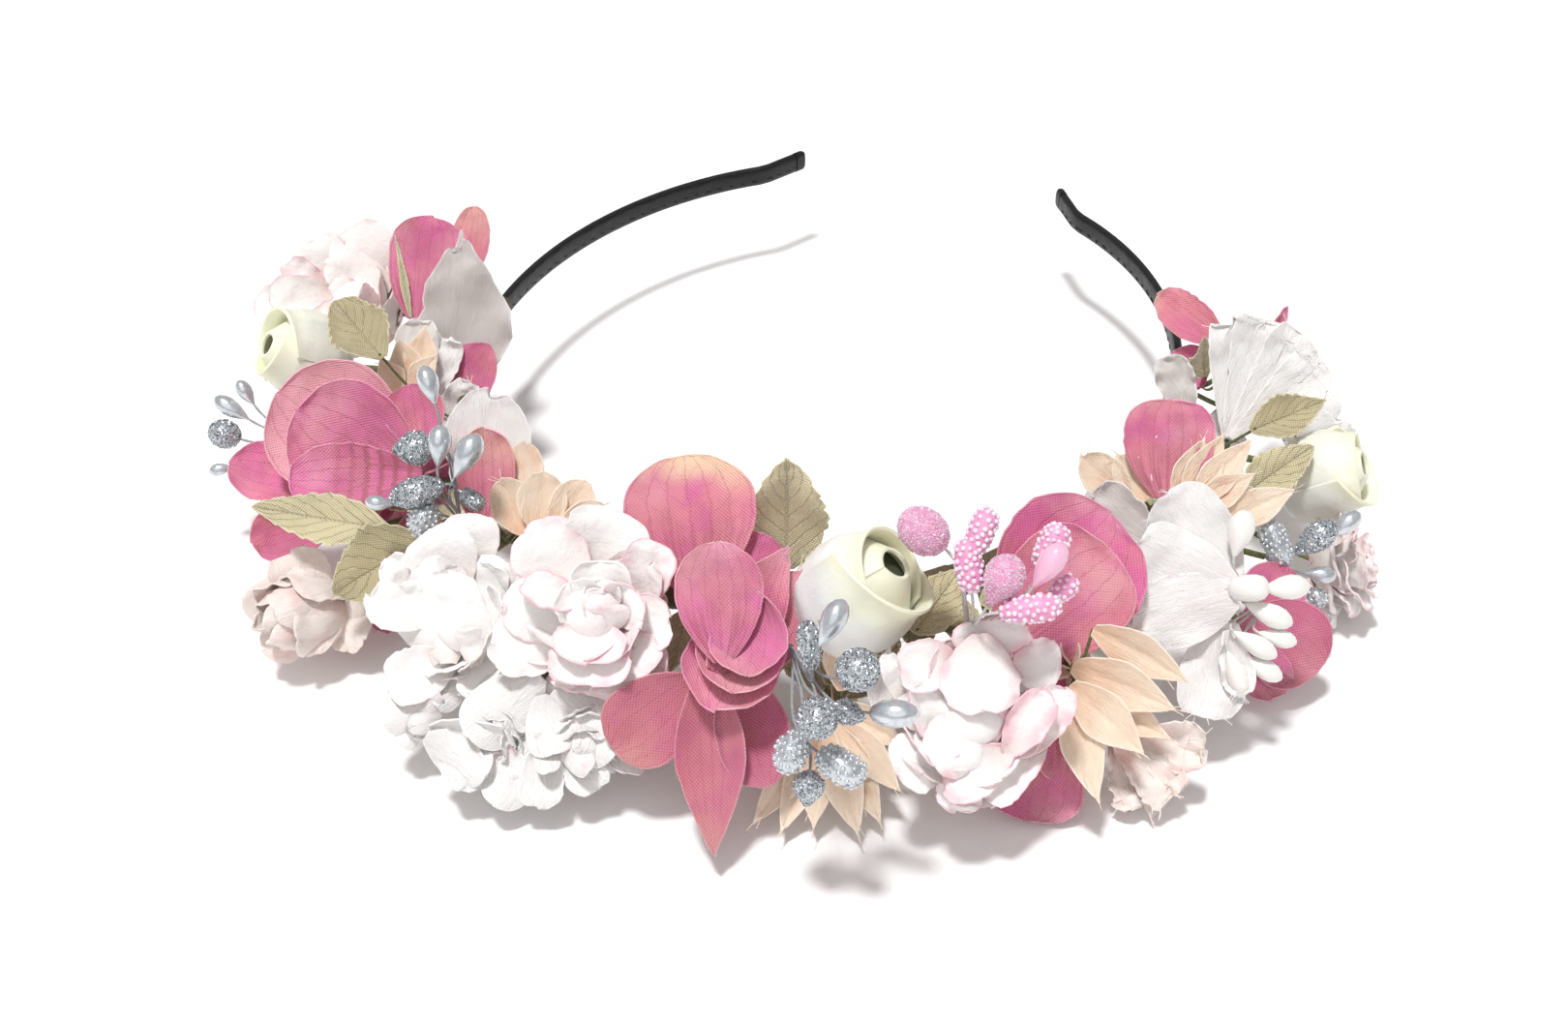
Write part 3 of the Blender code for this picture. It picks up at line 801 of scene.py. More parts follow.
@dataclass(frozen=True)
class LeafSatin:
    """Khaki satin leaf cloth: visible weave with a painted sheen on its threads, pressed veins, and darker
    cloudy patches of painted shade for its folds.
    """

    name: str = "leaf_satin_weave"
    body: str = "b5a676"
    light: str = "f4efcb"
    dark: str = "74653a"
    thread_gap: float = 0.56

    def build(self) -> bpy.types.Material:
        """Lays out the leaf cloth."""
        bench = Bench(self.name)
        across, along, edge = bench.parts("mark")
        x, y, _ = bench.parts("cloth")
        tint, depth, _ = bench.parts("tone")
        cloudy = bench.cloud(110.0, 3.0)
        # Painted shade: darker cloudy patches stand for the shade in the leaf's folds.
        colour = bench.blend(bench.clamp(cloudy, 0.3, 0.75), dye(self.body), dye(self.dark))
        # Painted light: the tone's first number lifts a leaf towards the pale light colour, for a face that
        # the lamp only grazes.
        colour = bench.blend(tint * 0.6, colour, dye(self.light))
        slant = along * 7.0 - bench.maths("ABSOLUTE", across) * 2.4
        ribs = bench.maths("PINGPONG", slant + 10.0, 0.5)
        vein = 1.0 - bench.clamp(ribs, 0.0, 0.12)
        spine = 1.0 - bench.clamp(bench.maths("ABSOLUTE", across), 0.0, 0.07)
        veins = bench.larger(spine, vein * 0.7)
        colour = bench.blend(veins * 0.22, colour, dye(self.dark))
        warp = bench.wave((x + y * 0.35) * (TURN / self.thread_gap))
        weft = bench.wave((y - x * 0.35) * (TURN / self.thread_gap))
        weave = warp * weft * 0.5 + 0.5
        # Painted sheen: the weave's threads are painted in the pale light colour, over the real twill
        # pattern.
        colour = bench.blend(weave * 0.75, colour, dye(self.light))
        # The tone's depth darkens a leaf: partly its own darker khaki, partly painted shade on leaves that
        # lie in shadow.
        colour = bench.blend(depth * 0.7, colour, dye(self.dark))
        rim = 1.0 - bench.clamp(edge, 0.0, 0.35)
        colour = bench.blend(rim * 0.4, colour, dye(self.light))
        normal = bench.relief(weave, 0.00009)
        normal = bench.relief(veins * -1.0, 0.00018, normal)
        return bench.finish(
            colour,
            weave * -0.15 + 0.5,
            normal,
            Sheen_Weight=0.35,
            Subsurface_Weight=0.08,
            Subsurface_Scale=0.001,
        )


@dataclass(frozen=True)
class BeadPaint:
    """Pearl paint or sugar coat on the drops of a stamen bunch."""

    name: str
    body: str
    second: str
    rough: float
    metal: float = 0.0
    coat: float = 0.0
    mottle: float = 0.4
    mottle_scale: float = 900.0
    bump: float = 0.00004
    through: float = 0.0

    def build(self) -> bpy.types.Material:
        """Lays out the paint."""
        bench = Bench(self.name)
        _, depth, _ = bench.parts("tone")
        speck = bench.cloud(self.mottle_scale, 3.0)
        share = bench.clamp(speck, 0.3, 0.7) * self.mottle
        share = bench.larger(share, depth)
        colour = bench.blend(share, dye(self.body), dye(self.second))
        normal = bench.relief(speck, self.bump)
        rough = speck * 0.2 + (self.rough - 0.1)
        return bench.finish(
            colour,
            rough,
            normal,
            Metallic=self.metal,
            Coat_Weight=self.coat,
            Coat_Roughness=0.12,
            Subsurface_Weight=self.through,
            Subsurface_Scale=0.001,
        )


@dataclass(frozen=True)
class RibbonSatin:
    """Black satin ribbon: fine ribs across the band and a soft sheen, painted lighter on its ribs and
    pulled wrinkles as a painted sheen.
    """

    name: str = "black_satin_weave"
    body: str = "050506"
    light: str = "141417"
    rib_gap: float = 0.3

    def build(self) -> bpy.types.Material:
        """Lays out the ribbon."""
        bench = Bench(self.name)
        x, y, _ = bench.parts("cloth")
        ribs = bench.wave(y * (TURN / self.rib_gap)) * 0.5 + 0.5
        pull = bench.cloud(1.0, 3.0, bench.joined(x * 0.8, y * 0.35))
        # Painted sheen: the ribs and the pulled wrinkles are painted lighter.
        share = (ribs + pull) * 0.35
        colour = bench.blend(share, dye(self.body), dye(self.light))
        normal = bench.relief(ribs, 0.000012)
        normal = bench.relief(pull, 0.00018, normal)
        rough = pull * 0.25 + 0.3
        return bench.finish(
            colour, rough, normal, Sheen_Weight=0.03, Anisotropic=0.4, Specular_IOR_Level=0.4
        )


@dataclass(frozen=True)
class WrapTape:
    """Waxed crepe tape or paper that is wound on wires: fine crinkles across its length."""

    name: str
    body: str
    dark: str
    crinkle: float = 3.0

    def build(self) -> bpy.types.Material:
        """Lays out the tape."""
        bench = Bench(self.name)
        x, y, _ = bench.parts("cloth")
        creases = bench.cloud(self.crinkle, 4.0, bench.joined(x * 0.4, y), 0.65)
        colour = bench.blend(bench.clamp(creases, 0.35, 0.7), dye(self.body), dye(self.dark))
        colour = bench.blend(bench.cloud(300.0) * 0.3, colour, dye(self.dark))
        normal = bench.relief(creases, 0.0002)
        return bench.finish(colour, creases * 0.2 + 0.55, normal)


@dataclass(frozen=True)
class StripSteel:
    """Brushed spring steel of the strip inside the ribbon."""

    name: str = "brushed_spring_steel"

    def build(self) -> bpy.types.Material:
        """Lays out the steel."""
        bench = Bench(self.name)
        stretch = bench.put("ShaderNodeMapping")
        bench.feed(stretch.inputs["Vector"], bench.place())
        stretch.inputs["Scale"].default_value = (300.0, 300.0, 9000.0)
        brushed = bench.cloud(1.0, 4.0, stretch.outputs[0])
        colour = bench.blend(brushed, dye("9a9da3"), dye("c9ccd0"))
        rough = brushed * 0.2 + 0.25
        return bench.finish(colour, rough, bench.relief(brushed, 0.00001), Metallic=1.0)


@dataclass(frozen=True)
class FloorPaper:
    """The plain white floor."""

    name: str = "pale_floor"

    def build(self) -> bpy.types.Material:
        """Lays out the floor."""
        bench = Bench(self.name)
        grain = bench.cloud(600.0, 2.0)
        colour = bench.blend(grain * 0.15, dye("ffffff"), dye("f6f5f5"))
        return bench.finish(colour, 0.75, None, Specular_IOR_Level=0.2)


class Finish(Enum):
    """Every finish on the crown."""

    PINK_CLOTH = DyedCloth()
    PEACH_CLOTH = PlainCloth("peach_petal_cloth", "fae8d2", "ecc29b", "efb08f", "fbeedd", rough=0.65)
    WHITE_CLOTH = PlainCloth("white_petal_cloth", "f8f7f5", "e4dfdb", "f2c8ce", "fcfbfa")
    BLUSH_CLOTH = PlainCloth("blush_petal_cloth", "faefe8", "efd9cd", "f1c5c0", "f6ebe2")
    # Painted shade: the sheer cloth's greyish body and shade colours stand for the shade on thin white
    # petals that lie in shadow.
    SHEER_CLOTH = PlainCloth("sheer_petal_cloth", "dcd7d3", "b9b2ad", "d9a6a8", "f2efec", sheen=0.4)
    ROSE_PAPER = RosePaper()
    IVORY_FOAM = BudFoam()
    KHAKI_SATIN = LeafSatin()
    SILVER_PEARL = BeadPaint(
        "silver_pearl_paint", "d6dce0", "99a2a9", 0.24, metal=0.6, coat=0.6, mottle=0.45
    )
    SILVER_GLITTER = BeadPaint(
        "silver_glitter_grain", "e4eaee", "59636b", 0.2, metal=0.8, mottle=1.0, mottle_scale=2600.0
    )
    PINK_PEARL = BeadPaint("pink_pearl_paint", "eebfd6", "dc4f9d", 0.25, coat=0.6, mottle=0.1, through=0.2)
    PINK_SEED = BeadPaint("pink_seed_bead", "f6e6ee", "eebbd6", 0.35, coat=0.3, mottle=0.5, through=0.3)
    PINK_CORE = BeadPaint("pink_drop_core", "eaa3c8", "df86b6", 0.5, mottle=0.6)
    PINK_SUGAR = BeadPaint(
        "pink_sugar_grain", "f4e3ea", "c896b2", 0.22, mottle=1.0, mottle_scale=2400.0, through=0.3
    )
    WHITE_PEARL = BeadPaint(
        "white_drop_paint", "eeeeea", "dedcd3", 0.28, coat=0.4, mottle=0.25, through=0.2
    )
    WHITE_STALK = WrapTape("white_thread_stalk", "e9e6e2", "b9b4b0", 5.0)
    SILVER_STALK = WrapTape("silver_thread_stalk", "b7bbbf", "7f8489", 5.0)
    BLACK_SATIN = RibbonSatin()
    FLORAL_TAPE = WrapTape("floral_tape_crepe", "6a5a3c", "3c3222")
    STEM_PAPER = WrapTape("stem_wire_paper", "7c8256", "4f5633")
    SPRING_STEEL = StripSteel()
    FLOOR = FloorPaper()

    def material(self) -> bpy.types.Material:
        """This finish's material, which is made once."""
        made = bpy.data.materials.get(self.value.name)
        return made if made is not None else self.value.build()


# --------------------------------------------------------------------------------------
# Cutting and shaping sheets
# --------------------------------------------------------------------------------------


class Outline(Enum):
    """Flat outlines: widest place, base width share, swell powers and end roundness."""

    ROUND = (0.58, 0.22, 1.9, 2.4, 0.5)
    BROAD = (0.62, 0.32, 2.2, 3.0, 0.45)
    OVAL = (0.5, 0.3, 1.8, 2.0, 0.55)
    POINTED = (0.48, 0.3, 1.8, 1.35, 0.95)
    LANCE = (0.4, 0.3, 1.7, 1.15, 0.9)
    LEAF = (0.42, 0.16, 1.7, 1.5, 0.85)
    FAN = (0.86, 0.16, 1.15, 4.0, 0.35)

    def share(self, part: Array) -> Array:
        """Half width at each part of the length, as a share of the widest half width.

        Args:
            part: places along the length, from 0 at the base to 1 at the tip.

        Returns:
            The shares.
        """
        widest, base, rise, fall, end = self.value
        low = np.clip((widest - part) / widest, 0.0, 1.0)
        high = np.clip((part - widest) / (1 - widest), 0.0, 1.0)
        swell = 1 - (1 - base) * low**rise
        close = np.clip(1 - high**fall, 0.0, 1.0) ** end
        return np.where(part < widest, swell, close)


ROUND, BROAD, OVAL = Outline.ROUND, Outline.BROAD, Outline.OVAL
POINTED, LANCE, LEAF, FAN = Outline.POINTED, Outline.LANCE, Outline.LEAF, Outline.FAN


@dataclass(frozen=True)
class Cut:
    """How a petal is cut and shaped, in millimetres and degrees."""

    outline: Outline
    width: float
    bend: float = 20.0
    roll: float = 0.0
    cup: float = 25.0
    open: float = 15.0
    twist: float = 0.0
    lip: float = 0.0
    ruffle: float = 0.4
    crease: float = 0.0
    nick: float = 0.02
    serration: int = 0
    thickness: float = 0.3
    rows: int = 18
    columns: int = 14


@dataclass(frozen=True)
class Petal:
    """One petal in its flower's frame, from base to tip.

    lean turns its face about its own length. tone holds its dye, as its finish reads it.
    """

    base: Point
    tip: Point
    cut: Cut
    tone: Point = PLAIN_TONE
    lean: float = 0.0
    finish: Finish | None = None


def loose_petal(
    cut: Cut, tone: Point = PLAIN_TONE, lean: float = 0.0, finish: Finish | None = None
) -> Petal:
    """A petal whose two ends are given when it is laid."""
    return Petal(ORIGIN, ORIGIN, cut, tone, lean, finish)


def set_out(name: str, data: bpy.types.ID) -> bpy.types.Object:
    """Puts a mesh, lamp or camera into the scene as an object.

    Args:
        name: the object's name.
        data: what it holds.

    Returns:
        The object, at the origin.
    """
    item = bpy.data.objects.new(name, data)
    bpy.context.scene.collection.objects.link(item)
    return item


class SheetStock:
    """Collects the cut sheets of one piece and makes them one mesh."""

    def __init__(self, finishes: list[Finish]) -> None:
        """Starts an empty stock with the finishes that its sheets may take."""
        self.finishes = finishes
        self.points: list[Array] = []
        self.faces: list[Array] = []
        self.marks: list[Array] = []
        self.cloths: list[Array] = []
        self.tones: list[Array] = []
        self.slots: list[Array] = []
        self.count = 0

    def add_faces(
        self, points: Array, faces: Array, mark: Array, cloth: Array, tone: Array, finish: Finish
    ) -> None:
        """Adds points, their attributes and four-sided faces of one finish.

        Args:
            points: in millimetres.
            faces: four point numbers each.
            mark: across, along and edge.
            cloth: measures on the flat cloth.
            tone: the dye of every point.
            finish: the faces' finish.
        """
        if finish not in self.finishes:
            self.finishes.append(finish)
        self.points.append(points)
        self.faces.append(faces + self.count)
        self.marks.append(mark)
        self.cloths.append(cloth)
        self.tones.append(tone)
        self.slots.append(np.full(len(faces), self.finishes.index(finish), dtype=np.int32))
        self.count += len(points)

    def add_sheet(
        self, surface: Array, thickness: float, mark: Array, cloth: Array, tone: Point, finish: Finish
    ) -> None:
        """Gives a surface its thickness and a rounded rim.

        Args:
            surface: rows by columns of points; columns run across, rows along.
            thickness: of the sheet in millimetres.
            mark: across, along and edge distance of every point.
            cloth: the flat cut's own measures of every point.
            tone: the sheet's dye.
            finish: the sheet's finish.
        """
        rows, columns = surface.shape[:2]
        slope_along = np.gradient(surface, axis=0)
        slope_across = np.gradient(surface, axis=1)
        normal = np.cross(slope_across, slope_along)
        normal /= np.maximum(np.linalg.norm(normal, axis=2, keepdims=True), 1e-9)
        half = 0.5 * thickness
        top = (surface + normal * half).reshape(-1, 3)
        bottom = (surface - normal * half).reshape(-1, 3)
        grid = np.arange(rows * columns).reshape(rows, columns)
        quads = np.stack(
            [grid[:-1, :-1], grid[:-1, 1:], grid[1:, 1:], grid[1:, :-1]], axis=-1
        ).reshape(-1, 4)
        size = rows * columns
        ring = np.concatenate([grid[0, :-1], grid[:-1, -1], grid[-1, :0:-1], grid[:0:-1, 0]])
        row, column = np.divmod(ring, columns)
        inner = surface[np.clip(row, 1, rows - 2), np.clip(column, 1, columns - 2)]
        border = surface[row, column]
        push = border - inner
        push /= np.maximum(np.linalg.norm(push, axis=1, keepdims=True), 1e-9)
        middle = border + push * half * 0.8
        after = np.roll(ring, -1)
        rim = np.arange(len(ring)) + 2 * size
        rim_after = np.roll(rim, -1)
        upper = np.stack([rim, rim_after, after, ring], axis=-1)
        lower = np.stack([ring + size, after + size, rim_after, rim], axis=-1)
        faces = np.concatenate([quads, quads[:, ::-1] + size, upper, lower])
        points = np.concatenate([top, bottom, middle])
        flat_mark = mark.reshape(-1, 3)
        flat_cloth = cloth.reshape(-1, 3)
        back_cloth = flat_cloth.copy()
        back_cloth[:, 2] = 1.0
        rim_mark = flat_mark[ring].copy()
        rim_mark[:, 2] = 0.0
        self.add_faces(
            points,
            faces,
            np.concatenate([flat_mark, flat_mark, rim_mark]),
            np.concatenate([flat_cloth, back_cloth, flat_cloth[ring]]),
            np.tile(np.array(tone), (len(points), 1)),
            finish,
        )

    def add_turned(
        self, start: Array, axis: Array, outline: list[tuple[float, float]], tone: Point,
        finish: Finish, sides: int = 14,
    ) -> None:
        """Adds a closed turned shape along an axis.

        Args:
            start: where the axis starts, in millimetres.
            axis: its direction.
            outline: pairs of the distance along the axis and the radius there.
            tone: the shape's dye.
            finish: the shape's finish.
            sides: how many sides it has.
        """
        axis = unit(axis)
        guide = UP if abs(axis[2]) < 0.9 else np.array([1.0, 0.0, 0.0])
        first = unit(np.cross(guide, axis))
        second = np.cross(axis, first)
        spokes = round_spokes(first, second, sides)
        rings = [start + axis * along + spokes * radius for along, radius in outline]
        self.add_tube(rings, tone, finish, [along for along, _ in outline])

    def add_tube(
        self, rings: list[Array], tone: Point, finish: Finish, travel: list[float] | None = None
    ) -> None:
        """Adds a closed tube through rings of points, with its ends capped to a point.

        Args:
            rings: rings of points, all of one size.
            tone: the tube's dye.
            finish: its finish.
            travel: the distance along the tube at every ring.
        """
        sides = len(rings[0])
        count = len(rings)
        if travel is None:
            middles = np.array([ring.mean(axis=0) for ring in rings])
            steps = np.linalg.norm(np.diff(middles, axis=0), axis=1)
            travel = [0.0, *np.cumsum(steps)]
        body = np.concatenate(rings)
        ends = np.array([rings[0].mean(axis=0), rings[-1].mean(axis=0)])
        points = np.concatenate([body, ends])
        grid = np.arange(count * sides).reshape(count, sides)
        after = np.roll(grid, -1, axis=1)
        quads = np.stack([grid[:-1], after[:-1], after[1:], grid[1:]], axis=-1).reshape(-1, 4)
        low = np.full(sides, count * sides)
        high = low + 1
        first = np.stack([low, after[0], grid[0], low], axis=-1)
        last = np.stack([high, grid[-1], after[-1], high], axis=-1)
        around = np.tile(np.linspace(-1, 1, sides), count)
        girth = np.linalg.norm(rings[count // 2] - rings[count // 2].mean(axis=0), axis=1).mean()
        along = np.repeat(np.array(travel), sides)
        total = max(1e-6, travel[-1] - travel[0])
        mark = np.zeros((len(points), 3))
        mark[:-2, 0] = around
        mark[:-2, 1] = (along - travel[0]) / total
        mark[:, 2] = 1.0
        mark[-1, 1] = 1.0
        cloth = np.zeros((len(points), 3))
        cloth[:-2, 0] = around * math.pi * girth
        cloth[:-2, 1] = along
        cloth[-1, 1] = travel[-1]
        tones = np.tile(np.array(tone), (len(points), 1))
        self.add_faces(points, np.concatenate([quads, first, last]), mark, cloth, tones, finish)

    def make(self, name: str) -> bpy.types.Object:
        """Makes the stock one piece.

        Args:
            name: the piece's name.

        Returns:
            The piece, with its place in its mesh.
        """
        points = np.concatenate(self.points) * MM
        faces = np.concatenate(self.faces)
        mesh = bpy.data.meshes.new(name)
        corners: list[list[int]] = []
        slots = np.concatenate(self.slots)
        for face in faces.tolist():
            corners.append(face[:3] if face[0] == face[3] else face)
        mesh.from_pydata(points.tolist(), [], corners)
        for label, values in (("mark", self.marks), ("cloth", self.cloths), ("tone", self.tones)):
            layer = mesh.attributes.new(label, "FLOAT_VECTOR", "POINT")
            layer.data.foreach_set("vector", np.concatenate(values).astype(np.float32).ravel())
        mesh.polygons.foreach_set("material_index", slots)
        mesh.shade_smooth()
        mesh.set_sharp_from_angle(angle=math.radians(48))
        for finish in self.finishes:
            mesh.materials.append(finish.material())
        mesh.update()
        return set_out(name, mesh)


def sways(place: Point) -> list[float]:
    """Three smooth draws between about -0.6 and 0.6, set by a place and the same each time."""
    shifts = (0.0, 31.7, 63.1)
    return [noise.noise(Vector(place) + Vector((shift, -shift, 0.5 * shift))) for shift in shifts]


def soft_noise(place: Array, scale: float, seed: float) -> Array:
    """Smooth noise at rows of points, in step with their place in millimetres.

    Args:
        place: the points.
        scale: waves to a millimetre.
        seed: shifts the noise.

    Returns:
        One number to a point.
    """
    flat = place.reshape(-1, 3) * scale
    values = [noise.noise(Vector((p[0] + seed, p[1] - seed, p[2] + 0.5 * seed))) for p in flat]
    return np.array(values).reshape(place.shape[:-1])


def shape_petal(stock: SheetStock, stance: Stance, petal: Petal, finish: Finish, seed: float) -> Array:
    """Cuts, bends and cups one petal and adds it to the stock.

    Args:
        stock: takes the petal.
        stance: the flower's frame.
        petal: the petal's place and cut.
        finish: its finish, unless the petal names one.
        seed: sets its small accidents.

    Returns:
        The petal's middle surface, as rows by columns of points.
    """
    cut = petal.cut
    base = stance.point(petal.base)
    tip = stance.point(petal.tip)
    length = float(np.linalg.norm(tip - base))
    chord = (tip - base) / length
    face = stance.out - chord * float(chord @ stance.out)
    if np.linalg.norm(face) < 0.05:
        face = stance.up - chord * float(chord @ stance.up)
    face = turn_about(unit(face), chord, petal.lean)
    side = np.cross(chord, face)
    steps = np.linspace(0.0, 1.0, cut.rows)
    part = 1 - (1 - steps) ** 1.7
    late = np.clip((part - 0.62) / 0.38, 0, 1)
    late = late * late * (3 - 2 * late)
    angle = np.radians(cut.bend * (part - 0.5) + cut.roll * late)
    gaps = np.diff(part, prepend=0.0)
    run = np.cumsum(np.cos(angle) * gaps)
    lift = np.cumsum(np.sin(angle) * gaps)
    run, lift = run - run[0], lift - lift[0]
    reach = math.hypot(run[-1], lift[-1])
    tilt = math.atan2(lift[-1], run[-1])
    angle = angle - tilt
    cosine, sine = math.cos(-tilt), math.sin(-tilt)
    run, lift = (run * cosine - lift * sine) / reach, (run * sine + lift * cosine) / reach
    line = base + length * (run[:, None] * chord + lift[:, None] * face)
    normal = np.cos(angle)[:, None] * face - np.sin(angle)[:, None] * chord
    twist = np.radians(cut.twist) * (part - 0.3)
    sides = np.cos(twist)[:, None] * side + np.sin(twist)[:, None] * normal
    normals = np.cos(twist)[:, None] * normal - np.sin(twist)[:, None] * side
    across = np.linspace(-1.0, 1.0, cut.columns)
    half = 0.5 * cut.width * np.maximum(cut.outline.share(part), 0.05)
    seeds = np.array([seed * 3.1, seed * 1.7])
    halves = np.repeat(half[:, None], cut.columns, axis=1)
    wander = np.array(
        [
            [
                noise.noise(Vector((p * 3.5 + seeds[0], math.copysign(2.0, t), seeds[1])))
                for t in across
            ]
            for p in part
        ]
    )
    fine = np.array(
        [
            [
                noise.noise(Vector((p * 16 + seeds[1], math.copysign(2.0, t), seeds[0])))
                for t in across
            ]
            for p in part
        ]
    )
    halves = halves * (1 + cut.nick * (2.2 * wander + 1.6 * fine))
    if cut.serration:
        teeth = (part * cut.serration) % 1.0
        halves = halves * (1 - 0.13 * teeth * np.sin(np.pi * part) ** 0.3)[:, None]
    cup = np.radians(np.interp(part, [0, 1], [cut.cup, cut.open]))[:, None]
    cup = np.where(np.abs(cup) < 0.02, 0.02, cup)
    radius = halves / cup
    wide = radius * np.sin(cup * across[None, :])
    rise = radius * (1 - np.cos(cup * across[None, :]))
    edge = np.maximum(np.abs(across)[None, :] ** 3, part[:, None] ** 4)
    rise = rise - cut.lip * edge**2
    rise = rise - cut.crease * np.maximum(0.0, 1 - np.abs(across)[None, :] * 3.0) * half[:, None] / (
        0.5 * cut.width
    )
    surface = line[:, None, :] + wide[..., None] * sides[:, None, :]
    waves = soft_noise(surface, 2.6 / max(6.0, cut.width), seed)
    ripple = soft_noise(surface, 7.0 / max(6.0, cut.width), seed + 5)
    reach_out = 0.25 + 0.75 * np.maximum(np.abs(across)[None, :] ** 2, part[:, None] ** 2)
    rise = rise + cut.ruffle * reach_out * (2.0 * waves + 0.9 * ripple * edge)
    tip_wander = cut.nick * 2.0 * length * fine * part[:, None] ** 8
    surface = surface + rise[..., None] * normals[:, None, :] - tip_wander[..., None] * chord
    mark = np.zeros((cut.rows, cut.columns, 3))
    mark[..., 0] = across[None, :]
    mark[..., 1] = part[:, None]
    mark[..., 2] = np.minimum(halves * (1 - np.abs(across))[None, :], (1 - part)[:, None] * length)
    cloth = np.zeros_like(mark)
    cloth[..., 0] = halves * across[None, :]
    cloth[..., 1] = part[:, None] * length
    stock.add_sheet(surface, cut.thickness, mark, cloth, petal.tone, petal.finish or finish)
    return surface


# --------------------------------------------------------------------------------------
# Geometry Nodes: grains, beads, stitches and loose threads
# --------------------------------------------------------------------------------------


class Graph:
    """Builds one Geometry Nodes tree."""

    def __init__(self, name: str) -> None:
        """Starts a tree with a geometry input and output."""
        self.tree = bpy.data.node_groups.new(name, "GeometryNodeTree")
        self.tree.interface.new_socket("Geometry", in_out="INPUT", socket_type="NodeSocketGeometry")
        self.tree.interface.new_socket("Geometry", in_out="OUTPUT", socket_type="NodeSocketGeometry")
        self.start = self.tree.nodes.new("NodeGroupInput")
        self.end = self.tree.nodes.new("NodeGroupOutput")

    def number(self, name: str, default: float) -> None:
        """Adds a named number input.

        Args:
            name: the input's name.
            default: its first value.
        """
        kind = "NodeSocketInt" if isinstance(default, int) else "NodeSocketFloat"
        socket = self.tree.interface.new_socket(name, in_out="INPUT", socket_type=kind)
        socket.default_value = default

    def material(self, name: str) -> None:
        """Adds a named material input."""
        self.tree.interface.new_socket(name, in_out="INPUT", socket_type="NodeSocketMaterial")

    def put(self, kind: str, settings: dict[str, object] | None = None, **inputs: object) -> bpy.types.Node:
        """Adds a node, its settings, and its inputs by name with underscores for spaces.

        Args:
            kind: the node's type.
            settings: its properties by name.
            inputs: sockets or plain values by input name.

        Returns:
            The node.
        """
        node = self.tree.nodes.new(kind)
        for key, value in (settings or {}).items():
            setattr(node, key, value)
        for key, value in inputs.items():
            socket = node.inputs[key.replace("_", " ")]
            if isinstance(value, bpy.types.NodeSocket):
                self.tree.links.new(value, socket)
            else:
                socket.default_value = value
        return node

    def close(self, geometry: Socket) -> bpy.types.NodeTree:
        """Links the result to the output."""
        self.tree.links.new(geometry, self.end.inputs[0])
        return self.tree


def bake(
    tree: bpy.types.NodeTree, base: bpy.types.Mesh, values: dict[str, object]
) -> bpy.types.Mesh:
    """Runs a tree on a mesh and keeps the plain result.

    Args:
        tree: the Geometry Nodes tree.
        base: the mesh that it starts from.
        values: its inputs by name.

    Returns:
        The result as a mesh of its own.
    """
    worker = bpy.data.objects.new("worker", base)
    modifier = worker.modifiers.new("nodes", "NODES")
    modifier.node_group = tree
    for item in tree.interface.items_tree:
        if item.item_type == "SOCKET" and item.in_out == "INPUT" and item.name in values:
            modifier[item.identifier] = values[item.name]
    bpy.context.scene.collection.objects.link(worker)
    bpy.context.view_layer.update()
    graph = bpy.context.evaluated_depsgraph_get()
    result = bpy.data.meshes.new_from_object(worker.evaluated_get(graph))
    worker.modifiers.remove(modifier)
    bpy.data.objects.remove(worker, do_unlink=True)
    return result


